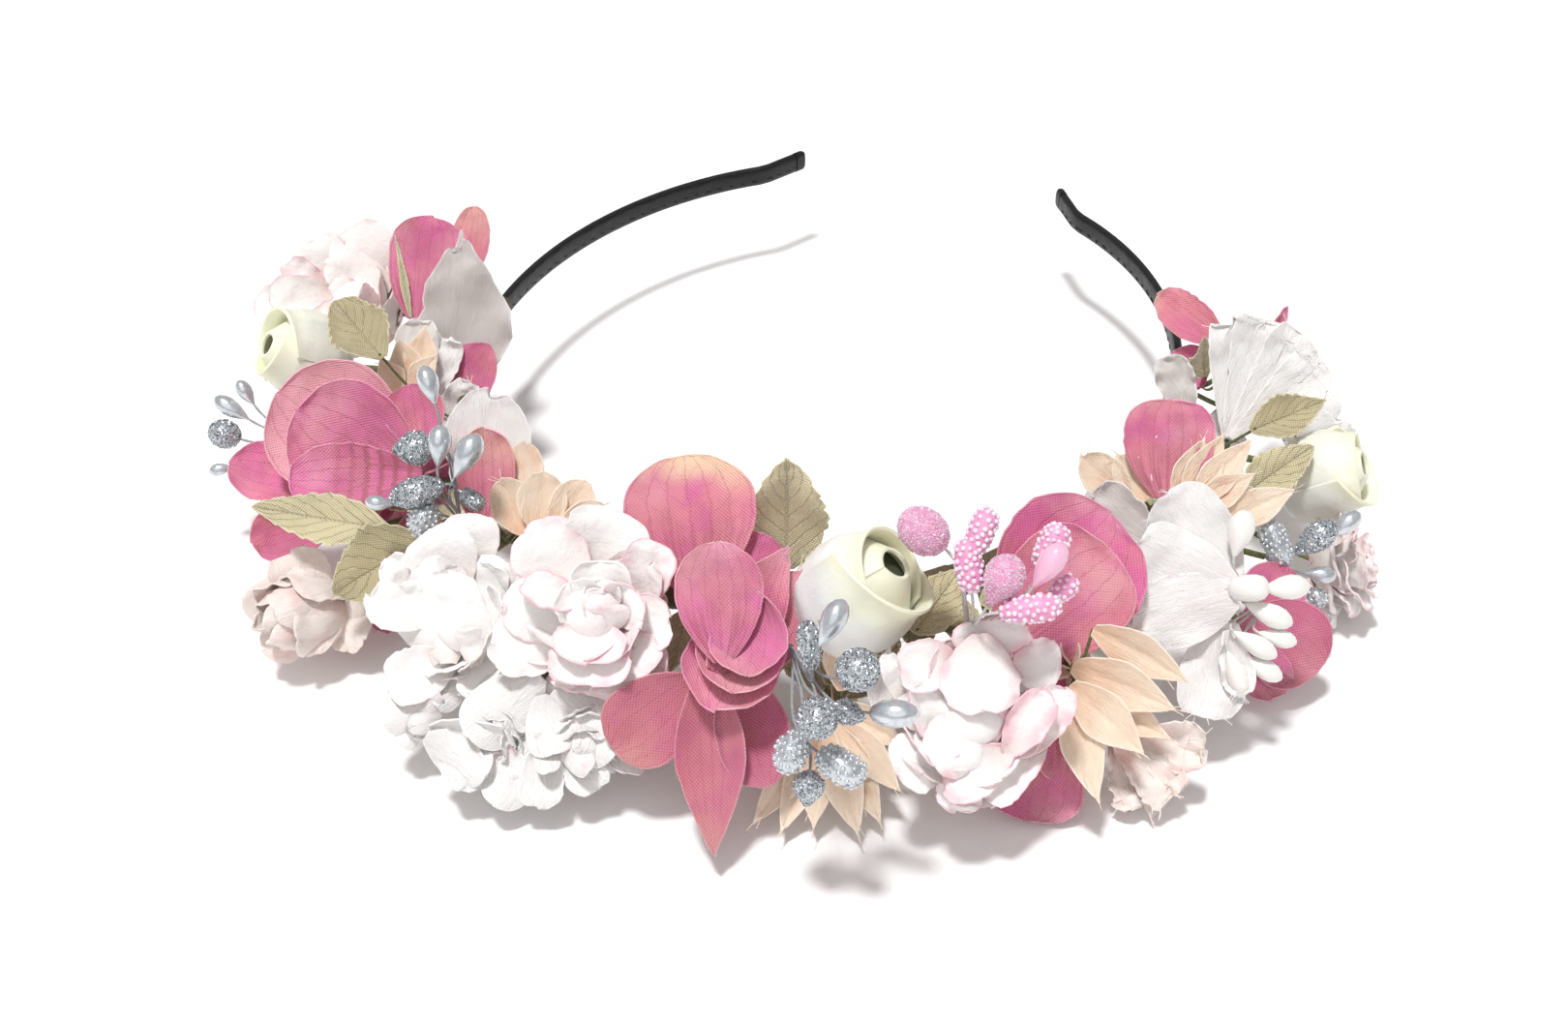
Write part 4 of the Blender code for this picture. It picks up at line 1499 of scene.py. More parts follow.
@dataclass(frozen=True)
class GrainCoat:
    """A coat of small grains or beads scattered evenly over a skin."""

    name: str
    size: float
    gap: float
    seed: int
    round_grain: bool
    spread: float = 0.35

    def tree(self) -> bpy.types.NodeTree:
        """The tree: scatter points, put a grain on each, make them real.

        Returns:
            The tree.
        """
        graph = Graph(self.name)
        graph.number("Grain Size", self.size * MM)
        graph.number("Gap", self.gap * MM)
        graph.number("Seed", self.seed)
        graph.material("Paint")
        source = graph.start.outputs
        scatter = graph.put(
            "GeometryNodeDistributePointsOnFaces",
            {"distribute_method": "POISSON"},
            Mesh=source["Geometry"],
            Distance_Min=source["Gap"],
            Seed=source["Seed"],
        )
        scatter.inputs["Density Max"].default_value = 6.0 / (self.gap * MM) ** 2
        scatter.inputs["Density Factor"].default_value = 1.0
        if self.round_grain:
            grain = graph.put("GeometryNodeMeshUVSphere", Segments=8, Rings=5, Radius=source["Grain Size"])
        else:
            grain = graph.put("GeometryNodeMeshIcoSphere", Radius=source["Grain Size"], Subdivisions=1)
        turn = graph.put("FunctionNodeRandomValue", {"data_type": "FLOAT_VECTOR"}, Seed=source["Seed"])
        turn.inputs["Max"].default_value = (6.283, 6.283, 6.283)
        grow = graph.put("FunctionNodeRandomValue", {"data_type": "FLOAT"})
        grow.inputs[2].default_value = 1.0 - self.spread
        grow.inputs[3].default_value = 1.0 + self.spread
        placed = graph.put(
            "GeometryNodeInstanceOnPoints",
            Points=scatter.outputs["Points"],
            Instance=grain.outputs["Mesh"],
            Rotation=turn.outputs["Value"],
            Scale=grow.outputs[1],
        )
        real = graph.put("GeometryNodeRealizeInstances", Geometry=placed.outputs[0])
        smooth = graph.put(
            "GeometryNodeSetShadeSmooth", Geometry=real.outputs[0], Shade_Smooth=self.round_grain
        )
        painted = graph.put(
            "GeometryNodeSetMaterial", Geometry=smooth.outputs[0], Material=source["Paint"]
        )
        return graph.close(painted.outputs[0])

    def coat(self, name: str, skin: bpy.types.Mesh, paint: Finish) -> bpy.types.Object:
        """Covers a skin with grains of a finish, as one piece.

        Args:
            name: the piece's name.
            skin: the mesh that is covered.
            paint: the grains' finish.

        Returns:
            The piece.
        """
        tree = bpy.data.node_groups.get(self.name) or self.tree()
        mesh = bake(
            tree,
            skin,
            {
                "Grain Size": self.size * MM,
                "Gap": self.gap * MM,
                "Seed": self.seed,
                "Paint": paint.material(),
            },
        )
        mesh.name = name
        return set_out(name, mesh)


@dataclass(frozen=True)
class ThreadRow:
    """Short threads that start on the points of a guide and follow its normals."""

    name: str = "thread_row"
    length: float = 1.6
    radius: float = 0.05

    def tree(self) -> bpy.types.NodeTree:
        """The tree: a thin rod on each guide point, aligned to the stored direction.

        Returns:
            The tree.
        """
        graph = Graph(self.name)
        graph.number("Length", self.length * MM)
        graph.number("Thread Radius", self.radius * MM)
        graph.number("Seed", 3)
        graph.material("Thread")
        source = graph.start.outputs
        points = graph.put("GeometryNodeMeshToPoints", Mesh=source["Geometry"])
        rod = graph.put(
            "GeometryNodeMeshCylinder",
            {"fill_type": "TRIANGLE_FAN"},
            Vertices=5,
            Side_Segments=1,
            Fill_Segments=1,
            Radius=source["Thread Radius"],
            Depth=source["Length"],
        )
        direction = graph.put("GeometryNodeInputNamedAttribute", {"data_type": "FLOAT_VECTOR"})
        direction.inputs["Name"].default_value = "way"
        align = graph.put(
            "FunctionNodeAlignRotationToVector", {"axis": "Z"}, Vector=direction.outputs["Attribute"]
        )
        grow = graph.put("FunctionNodeRandomValue", {"data_type": "FLOAT"}, Seed=source["Seed"])
        grow.inputs[2].default_value = 0.5
        grow.inputs[3].default_value = 1.4
        scale = graph.put("ShaderNodeCombineXYZ", X=1.0, Y=1.0, Z=grow.outputs[1])
        placed = graph.put(
            "GeometryNodeInstanceOnPoints",
            Points=points.outputs["Points"],
            Instance=rod.outputs["Mesh"],
            Rotation=align.outputs[0],
            Scale=scale.outputs[0],
        )
        real = graph.put("GeometryNodeRealizeInstances", Geometry=placed.outputs[0])
        painted = graph.put(
            "GeometryNodeSetMaterial", Geometry=real.outputs[0], Material=source["Thread"]
        )
        return graph.close(painted.outputs[0])

    def make(self, name: str, starts: Array, ways: Array, thread: Finish) -> bpy.types.Object:
        """Lays a thread at each start along its way.

        Args:
            name: the piece's name.
            starts: the threads' middles in millimetres.
            ways: their directions.
            thread: their finish.

        Returns:
            The piece.
        """
        guide = bpy.data.meshes.new("guide")
        guide.from_pydata((starts * MM).tolist(), [], [])
        layer = guide.attributes.new("way", "FLOAT_VECTOR", "POINT")
        layer.data.foreach_set("vector", ways.astype(np.float32).ravel())
        tree = bpy.data.node_groups.get(self.name) or self.tree()
        mesh = bake(
            tree,
            guide,
            {
                "Length": self.length * MM,
                "Thread Radius": self.radius * MM,
                "Seed": 3,
                "Thread": thread.material(),
            },
        )
        mesh.name = name
        return set_out(name, mesh)


# --------------------------------------------------------------------------------------
# Pieces and their CAD nodes
# --------------------------------------------------------------------------------------


def hand_in(piece: bpy.types.Object, node: str) -> None:
    """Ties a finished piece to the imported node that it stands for, and reports it.

    Args:
        piece: the finished piece.
        node: the node's name.
    """
    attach(piece, BODY)
    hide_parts(node)
    LOG.info("%s: %d faces, stands for %s", piece.name, len(piece.data.polygons), node)


@dataclass(frozen=True)
class Ring:
    """A ring of like petals round a flower's axis, in shares of its radius."""

    count: int
    base: tuple[float, float]
    tip: tuple[float, float]
    cut: Cut
    start: float = 0.0
    lean: float = 10.0
    jitter: float = 0.06
    tone: Point = (0.5, 0.0, 0.5)


def lay_ring(
    stock: SheetStock, stance: Stance, ring: Ring, size: float, finish: Finish, seed: float
) -> None:
    """Shapes one ring of petals.

    Args:
        stock: takes the petals.
        stance: the flower's frame, out along its axis.
        ring: the ring's measures.
        size: the flower's radius in millimetres.
        finish: the petals' finish.
        seed: sets its small accidents.
    """
    for number in range(ring.count):
        key = seed + number * 2.9
        sway = [noise.noise(Vector((key, place, 0.3))) for place in (0.7, 1.9, 3.1, 4.3)]
        share = (number + 1.5 * ring.jitter * sway[0]) / ring.count
        turn = math.radians(ring.start + 360 * share)
        spoke = math.cos(turn) * stance.right + math.sin(turn) * stance.up
        grow = 1 + 2.0 * ring.jitter * sway[1]
        height = ring.tip[1] + 1.5 * ring.jitter * sway[2]
        base = stance.middle + size * (ring.base[0] * spoke + ring.base[1] * stance.out)
        tip = stance.middle + size * (ring.tip[0] * grow * spoke + height * stance.out)
        chord = unit(tip - base)
        inward = stance.out * float(chord @ spoke) - spoke * float(chord @ stance.out)
        cut = replace(ring.cut, width=ring.cut.width * size * (1 + ring.jitter * sway[3]))
        petal = loose_petal(cut, ring.tone, ring.lean * (1 + sway[3]))
        shape_between(stock, base, tip, inward, stance.out, petal, finish, key)


WIRED = ("stem_paper_rose_back_left", "stem_peony_bud_left", "stem_paper_rose_right")


def lay_wire(stock: SheetStock, start: Array, end: Array, radius: float = 0.45) -> None:
    """Lays a paper-wrapped wire between two points.

    Args:
        stock: takes the wire.
        start: where it leaves the band or another wire.
        end: where it ends.
        radius: its radius in millimetres.
    """
    axis = unit(end - start)
    first = unit(np.cross(np.array([0.1, 0.2, 1.0]), axis))
    second = np.cross(axis, first)
    spokes = round_spokes(first, second, 8)
    rings = []
    for part in np.linspace(0, 1, 12):
        sag = math.sin(math.pi * part) * 2.2
        centre = start + (end - start) * part - np.array([0.0, 0.0, sag])
        rings.append(centre + radius * spokes)
    stock.add_tube(rings, PLAIN_TONE, Finish.STEM_PAPER)


def wire_up(stock: SheetStock, spot: Spot, hub: Array, ends: list[Array]) -> None:
    """Wires a flower to the band, and its parts to the wire's end.

    Args:
        stock: takes the wires.
        spot: the flower's place along the band.
        hub: where its wires meet, behind the flower.
        ends: the parts' inner ends.
    """
    lay_wire(stock, BAND.foot(spot.station), hub, 0.55)
    for end in ends:
        if np.linalg.norm(end - hub) > 1.2:
            lay_wire(stock, hub, end, 0.3)


@dataclass
class PetalFlower:
    """A flower whose petals are each laid one by one, seen from the crown's show side.

    A flower with a radius also has a wound core and rings of petals behind.
    """

    node: str
    slot: str
    spot: Spot
    petals: tuple[Petal, ...]
    finish: Finish
    seed: float = 0.0
    radius: float = 0.0
    yaw: float = 0.0
    rise: float = 0.0
    backing: tuple[Ring, ...] = ()
    threads: int = 0

    def build(self) -> None:
        """Shapes the petals and hands them in as one piece."""
        stock = SheetStock([self.finish])
        if self.radius:
            self.body(stock)
        stance = BAND.show_side(self.spot)
        if not self.radius:
            feet = [stance.point(petal.base) - 0.8 * stance.out for petal in self.petals]
            hub = np.mean(feet, axis=0) - 1.2 * stance.out
            wire_up(stock, self.spot, hub, feet)
            if self.spot.outward >= 15 and hub[2] > 12:
                self.back(stock, stance, hub)
        elif f"stem_{self.node}" not in WIRED:
            lay_wire(stock, BAND.foot(self.spot.station), stance.middle, 0.55)
        starts: list[Array] = []
        ways: list[Array] = []
        for number, petal in enumerate(self.petals):
            key = self.seed + 7.3 * number
            surface = shape_petal(stock, stance, petal, self.finish, key)
            self.fray(surface, key, starts, ways)
        hand_in(stock.make(f"{self.node}_petals"), self.node)
        if starts:
            row = ThreadRow("loose_threads", 2.1, 0.055)
            piece = row.make(f"{self.node}_threads", np.array(starts), np.array(ways), self.finish)
            hand_in(piece, self.node)

    def back(self, stock: SheetStock, stance: Stance, hub: Array) -> None:
        """Adds the stack's hidden petals, which fill the room behind the flower.

        Args:
            stock: takes the petals.
            stance: the flower's frame.
            hub: where its wires meet.
        """
        first = self.petals[-1]
        cut = replace(first.cut, width=8.5, bend=35, cup=30, open=20, rows=12, columns=10)
        petal = loose_petal(cut, (0.7, 0.2, 0.0))
        for number in range(4):
            turn = self.seed + number * math.pi / 2
            spoke = math.cos(turn) * stance.right + math.sin(turn) * stance.up
            tip = hub - 9.5 * stance.out + 4.5 * spoke
            shape_between(stock, hub, tip, spoke, stance.out, petal, self.finish, self.seed + 90 + number)

    def fray(self, surface: Array, seed: float, starts: list[Array], ways: list[Array]) -> None:
        """Notes where loose threads leave a petal's free edge, and which way.

        Args:
            surface: the petal's middle surface.
            seed: sets the threads' places.
            starts: takes the threads' middles.
            ways: takes their directions.
        """
        rows, columns = surface.shape[:2]
        for number in range(self.threads):
            sway = sways((seed + number * 3.7, 0.4, 1.3))
            column = int(np.clip((0.5 + 0.75 * sway[0]) * columns, 0, columns - 1))
            row = rows - 1 if number % 3 else int(np.clip(rows * (0.8 + 0.3 * sway[1]), 1, rows - 1))
            if number % 3 == 0:
                column = 0 if sway[0] < 0 else columns - 1
            point = surface[row, column]
            away = unit(point - surface[max(0, row - 3), columns // 2])
            ways.append(unit(away + 0.7 * np.array(sway)))
            starts.append(point + 0.4 * ways[-1])

    def body(self, stock: SheetStock) -> None:
        """Winds the core and lays the rings behind.

        Args:
            stock: takes them.
        """
        stance = BAND.stance(self.spot, self.yaw, self.rise)
        size = self.radius
        profile = ((-0.95, 0.12), (-0.8, 0.26), (-0.45, 0.4), (-0.1, 0.42), (0.12, 0.3), (0.2, 0.12))
        outline = [(along * size, across * size) for along, across in profile]
        stock.add_turned(stance.middle, stance.out, outline, (0.5, 0.1, 0.2), self.finish, 18)
        for order, ring in enumerate(self.backing):
            lay_ring(stock, stance, ring, size, self.finish, self.seed + 40 + order * 11.7)


@dataclass
class RingFlower:
    """A flower built of rings of petals round its axis."""

    node: str
    slot: str
    spot: Spot
    radius: float
    yaw: float
    rise: float
    rings: tuple[Ring, ...]
    finish: Finish
    seed: float = 0.0

    def build(self) -> None:
        """Shapes every ring and hands the flower in as one piece."""
        stock = SheetStock([self.finish])
        stance = BAND.stance(self.spot, self.yaw, self.rise)
        lay_wire(stock, BAND.foot(self.spot.station), stance.middle, 0.5)
        for order, ring in enumerate(self.rings):
            key = self.seed + order * 11.7
            lay_ring(stock, stance, ring, self.radius, self.finish, key)
        hand_in(stock.make(f"{self.node}_petals"), self.node)


def shape_between(
    stock: SheetStock,
    base: Array,
    tip: Array,
    face: Array,
    spare: Array,
    petal: Petal,
    finish: Finish,
    seed: float,
) -> None:
    """Shapes a petal between two points with its face towards a direction.

    Args:
        stock: takes the petal.
        base: where it starts, in millimetres.
        tip: where it ends.
        face: the side that its upper face looks to.
        spare: a second direction for a petal that runs along its face.
        petal: its cut, dye and lean.
        finish: its finish, unless the petal names one.
        seed: sets its small accidents.
    """
    chord = unit(tip - base)
    out = face - chord * float(face @ chord)
    up = spare - chord * float(spare @ chord)
    chosen = unit(out) if np.linalg.norm(out) > 0.05 else unit(up)
    stance = Stance(base, unit(np.cross(chord, chosen)), chord, chosen)
    length = float(np.linalg.norm(tip - base))
    laid = replace(petal, base=(0.0, 0.0, 0.0), tip=(0.0, length, 0.0))
    shape_petal(stock, stance, laid, finish, seed)


# --------------------------------------------------------------------------------------
# Roses, buds and blossoms
# --------------------------------------------------------------------------------------

PAPER = Cut(BROAD, 1.0, thickness=0.28, ruffle=0.45, nick=0.05, rows=16, columns=14)
CLOTH = Cut(ROUND, 1.0, thickness=0.26, ruffle=0.35, rows=20, columns=16)
POINT = Cut(POINTED, 1.0, thickness=0.26, cup=30, open=20, crease=0.5, ruffle=0.25, nick=0.03)
SATIN = Cut(BROAD, 1.0, thickness=0.26, ruffle=0.9, cup=35, open=20, nick=0.02, rows=22, columns=18)


def open_rose(blush: float) -> tuple[Ring, ...]:
    """Rings of an open paper rose.

    Args:
        blush: how pink its edges are.

    Returns:
        The rings, outermost first.
    """
    tone = (0.5, 0.0, blush)
    outer = replace(PAPER, width=0.98, bend=40, roll=-75, cup=26, open=14, lip=0.4)
    second = replace(PAPER, width=0.86, bend=50, roll=-70, cup=36, open=22, lip=0.5)
    third = replace(PAPER, width=0.78, bend=55, roll=-55, cup=50, open=34, lip=0.5)
    fourth = replace(PAPER, width=0.64, bend=45, roll=-40, cup=65, open=55, lip=0.4)
    heart = replace(PAPER, width=0.46, bend=40, roll=-10, cup=80, open=75)
    return (
        Ring(6, (0.15, -0.6), (1.03, -0.12), outer, 10, 12, 0.1, tone),
        Ring(6, (0.12, -0.5), (0.93, 0.22), second, 40, 14, 0.1, tone),
        Ring(5, (0.1, -0.4), (0.7, 0.48), third, 5, 16, 0.1, tone),
        Ring(4, (0.08, -0.3), (0.42, 0.62), fourth, 50, 16, 0.1, tone),
        Ring(3, (0.05, -0.2), (0.2, 0.6), heart, 20, 20, 0.1, tone),
    )


def behind(blush: float, tip: float = 0.95) -> tuple[Ring, ...]:
    """Rings of broad petals behind a rose or blossom whose petals are laid one by one.

    Args:
        blush: how pink their edges are.
        tip: their reach in radii.

    Returns:
        The rings.
    """
    tone = (0.5, 0.0, blush)
    broad = replace(PAPER, width=0.85, bend=45, roll=-25, cup=30, open=20)
    return (
        Ring(7, (0.2, -0.85), (tip, -0.35), broad, 10, 12, 0.1, tone),
        Ring(6, (0.15, -0.6), (0.85 * tip, -0.02), replace(broad, width=0.8), 40, 14, 0.1, tone),
    )


def shell(width: float, **changes: object) -> Cut:
    """A hollow petal whose free edge rolls back."""
    hollow = replace(PAPER, cup=32, open=22, bend=30, roll=-38, rows=20, columns=16)
    return replace(hollow, width=width, **changes)


def dome(width: float, **changes: object) -> Cut:
    """A bulging petal that folds over what lies under it."""
    bulging = replace(PAPER, outline=ROUND, cup=-38, open=-42, bend=62, roll=-20, rows=20, columns=16)
    return replace(bulging, width=width, **changes)


def cup_blossom(blush: float) -> tuple[Ring, ...]:
    """Rings of a small cup-shaped blossom.

    Args:
        blush: its tint.

    Returns:
        The rings, outermost first.
    """
    tone = (0.5, 0.0, blush)
    cup = replace(PAPER, outline=OVAL, thickness=0.4, nick=0.02)
    outer = replace(cup, width=1.05, bend=80, roll=-25, cup=45, open=30)
    middle = replace(cup, width=0.85, bend=75, roll=-15, cup=55, open=40)
    inner = replace(cup, width=0.6, bend=60, roll=0, cup=70, open=60)
    return (
        Ring(5, (0.12, -0.85), (1.0, 0.35), outer, 0, 12, 0.1, tone),
        Ring(5, (0.1, -0.7), (0.72, 0.62), middle, 36, 14, 0.1, tone),
        Ring(4, (0.05, -0.5), (0.34, 0.66), inner, 12, 16, 0.1, tone),
    )


def closed_bud(blush: float) -> tuple[Ring, ...]:
    """Rings of a fat bud with folded overlapping petals.

    Args:
        blush: its tint.

    Returns:
        The rings, outermost first.
    """
    tone = (0.5, 0.0, blush)
    fold = replace(SATIN, thickness=0.32, ruffle=0.6)
    outer = replace(fold, width=1.4, bend=95, roll=-30, cup=55, open=40)
    middle = replace(fold, width=1.15, bend=95, roll=-15, cup=60, open=50)
    inner = replace(fold, width=0.85, bend=80, roll=0, cup=70, open=62)
    return (
        Ring(4, (0.1, -0.95), (0.8, 0.45), outer, 0, 14, 0.1, tone),
        Ring(4, (0.1, -0.8), (0.55, 0.8), middle, 45, 16, 0.1, tone),
        Ring(3, (0.08, -0.6), (0.25, 0.95), inner, 10, 18, 0.1, tone),
    )


@dataclass
class FoamBud:
    """A rosebud wrapped from foam: three layers with rolled lips round a dark green plug, painted shade for
    its hollow.
    """

    node: str
    spot: Spot
    radius: float
    axis: Point
    seed: float = 0.0
    spin: float = 0.0
    cream: float = 0.0

    def wrap(
        self, stock: SheetStock, stance: Stance, start: float, span: float, grow: float,
        top: float, flare: float, dip: float, mouth: float, tone: Point, foot: float = -1.12,
    ) -> None:
        """Wraps one layer of foam round the bud.

        Args:
            stock: takes the layer.
            stance: the bud's frame, out along its axis.
            start: where the wrap starts, in degrees.
            span: how far round it goes.
            grow: how far the layer stands off, as a share of the radius.
            top: height of its lip, in radii.
            flare: how far the lip rolls outward, in radii.
            dip: how much lower the lip's ends lie, in radii.
            mouth: its radius at the top, as a share of the bud's.
            tone: its dye.
            foot: height of its lower edge, in radii.
        """
        rows, columns = 22, max(16, int(span / 9))
        across = np.linspace(-1, 1, columns)
        part = np.linspace(0, 1, rows)
        turn = np.radians(self.spin + start + span * (across + 1) / 2)
        high = top - dip * across**2
        heights = foot + (high[None, :] - foot) * part[:, None]
        level = np.interp(
            heights,
            [-1.15, -1.05, -0.85, -0.5, 0.0, 0.35, 0.7, 1.05],
            [0.25, 0.5, 0.78, 0.96, 1.0, 0.96, 0.5 + 0.45 * mouth, mouth],
        )
        late = np.clip((part - 0.8) / 0.2, 0, 1)[:, None]
        creep = 0.05 * (across + 1)[None, :] / 2
        radius = self.radius * (level * (1 + grow + creep) + flare * late**1.6)
        heights = heights - 0.25 * flare * late**3
        surface = (
            stance.middle
            + radius[..., None] * np.cos(turn)[None, :, None] * stance.right
            + radius[..., None] * np.sin(turn)[None, :, None] * stance.up
            + (heights * self.radius)[..., None] * stance.out
        )
        bumps = soft_noise(surface, 0.22, self.seed + start)
        outward = unit_rows(surface - stance.middle)
        surface = surface + (0.025 * self.radius * bumps)[..., None] * outward
        mark = np.zeros((rows, columns, 3))
        mark[..., 0] = across[None, :]
        mark[..., 1] = part[:, None]
        mark[..., 2] = 2.0
        stock.add_sheet(surface[:, ::-1], 0.75, mark[:, ::-1], mark[:, ::-1] * 4, tone, Finish.IVORY_FOAM)

    def build(self) -> None:
        """Wraps the bud, gives it a calyx and hands it in."""
        stock = SheetStock([Finish.IVORY_FOAM])
        show = BAND.show_side(self.spot)
        stance = stance_towards(show.middle, show.point(self.axis) - show.middle)
        self.wrap(stock, stance, 0, 356, -0.07, 1.0, 0.04, 0.06, 0.19, (0.5, 0.0, 0.25 + self.cream))
        self.wrap(stock, stance, 130, 250, 0.0, 1.02, 0.1, 0.3, 0.6, (0.5, 0.0, 0.1 + self.cream))
        self.wrap(stock, stance, -40, 235, 0.07, 0.98, 0.12, 0.42, 0.76, (0.5, 0.0, self.cream), -1.05)
        self.heart(stock, stance)
        self.calyx(stock, stance)
        if self.node == "foam_bud_front":
            end = stance.point((0.0, 0.0, -self.radius))
            lay_wire(stock, BAND.foot(self.spot.station), end, 0.6)
        hand_in(stock.make(f"{self.node}_foam"), self.node)

    def heart(self, stock: SheetStock, stance: Stance) -> None:
        """Fills the bud's mouth with a dark green plug, painted shade that stands for its deep hollow.

        Args:
            stock: takes the plug.
            stance: the bud's frame.
        """
        plug = [(0.0, 0.02), (0.05, 0.5), (0.14, 0.5), (0.18, 0.02)]
        outline = [(h * self.radius, r * self.radius) for h, r in plug]
        start = stance.point((0.0, 0.0, 0.58 * self.radius))
        # Painted shade: depth 0.95 colours the plug dark green.
        stock.add_turned(start, stance.out, outline, (0.5, 0.95, 0.0), Finish.IVORY_FOAM, 16)

    def calyx(self, stock: SheetStock, stance: Stance) -> None:
        """Lays khaki sepals round the bud's foot.

        Args:
            stock: takes the sepals.
            stance: the bud's frame.
        """
        cut = Cut(
            LANCE, 0.62 * self.radius, bend=35, roll=-25, cup=30, open=10, thickness=0.3, rows=14, columns=8
        )
        for number in range(5):
            turn = math.radians(self.spin + 72 * number + 10)
            spoke = math.cos(turn) * stance.right + math.sin(turn) * stance.up
            base = stance.middle + 0.15 * self.radius * spoke - 1.15 * self.radius * stance.out
            tip = stance.middle + 1.18 * self.radius * spoke - 0.25 * self.radius * stance.out
            petal = loose_petal(cut, (0.2, 0.2, 0.0), finish=Finish.KHAKI_SATIN)
            face = stance.out - spoke
            key = self.seed + number
            shape_between(stock, base, tip, face, stance.out, petal, Finish.KHAKI_SATIN, key)


def unit_rows(vectors: Array) -> Array:
    """The vectors of a grid at length one."""
    return vectors / np.maximum(np.linalg.norm(vectors, axis=-1, keepdims=True), 1e-9)


# --------------------------------------------------------------------------------------
# Leaves and single petals
# --------------------------------------------------------------------------------------


@dataclass
class SinglePetal:
    """A leaf or a loose petal between two spots, with its face to one side."""

    node: str
    slot: str
    base: Spot
    tip: Spot
    cut: Cut
    turn: float
    rise: float
    finish: Finish
    tone: Point = PLAIN_TONE
    seed: float = 0.0
    declared: bool = False

    def build(self) -> None:
        stock = SheetStock([self.finish])
        face = compass(self.turn, self.rise)
        base, tip = BAND.place(self.base), BAND.place(self.tip)
        if self.base.outward > 5:
            lay_wire(stock, BAND.foot(self.base.station), base + 0.06 * (tip - base), 0.26)
        petal = loose_petal(self.cut, self.tone)
        shape_between(stock, base, tip, face, UP, petal, self.finish, self.seed)
        piece = stock.make(f"{self.node}_cloth")
        hand_in(piece, self.node)
        if self.declared:
            length = float(np.linalg.norm(tip - base)) * 1.03
            width = self.cut.width
            width * MM
            0.74 * width * length * MM * MM


# --------------------------------------------------------------------------------------
# Stamen bunches
# --------------------------------------------------------------------------------------


class DropKind(Enum):
    """What covers a drop."""

    PEARL = "pearl"
    GLITTER = "glitter"
    SEED = "seed"
    SUGAR = "sugar"
    SMOOTH = "smooth"


class DropForm(Enum):
    """Side views of a drop: shares of its half length and half width, foot first."""

    TEAR = (
        (-1.0, 0.12), (-0.86, 0.26), (-0.6, 0.52), (-0.2, 0.86),
        (0.2, 1.0), (0.55, 0.9), (0.82, 0.6), (0.97, 0.22),
    )
    OVAL = ((-1.0, 0.14), (-0.86, 0.52), (-0.5, 0.88), (0.0, 1.0), (0.5, 0.88), (0.86, 0.52), (1.0, 0.14))
    ROD = (
        (-1.0, 0.16), (-0.93, 0.5), (-0.7, 0.84), (-0.2, 1.0),
        (0.4, 1.0), (0.75, 0.84), (0.93, 0.52), (1.0, 0.16),
    )
    TIPPED = (
        (-1.0, 0.14), (-0.8, 0.55), (-0.45, 0.95), (0.0, 1.0),
        (0.35, 0.8), (0.65, 0.5), (0.9, 0.22), (1.0, 0.08),
    )


@dataclass(frozen=True)
class Drop:
    """One drop of a bunch, seen from the crown's show side.

    middle and aim are right, up and out of the bunch's base. length and width are in
    millimetres.
    """

    middle: Point
    aim: Point
    length: float
    width: float
    kind: DropKind
    form: DropForm = DropForm.TEAR
    deep: float = 0.0


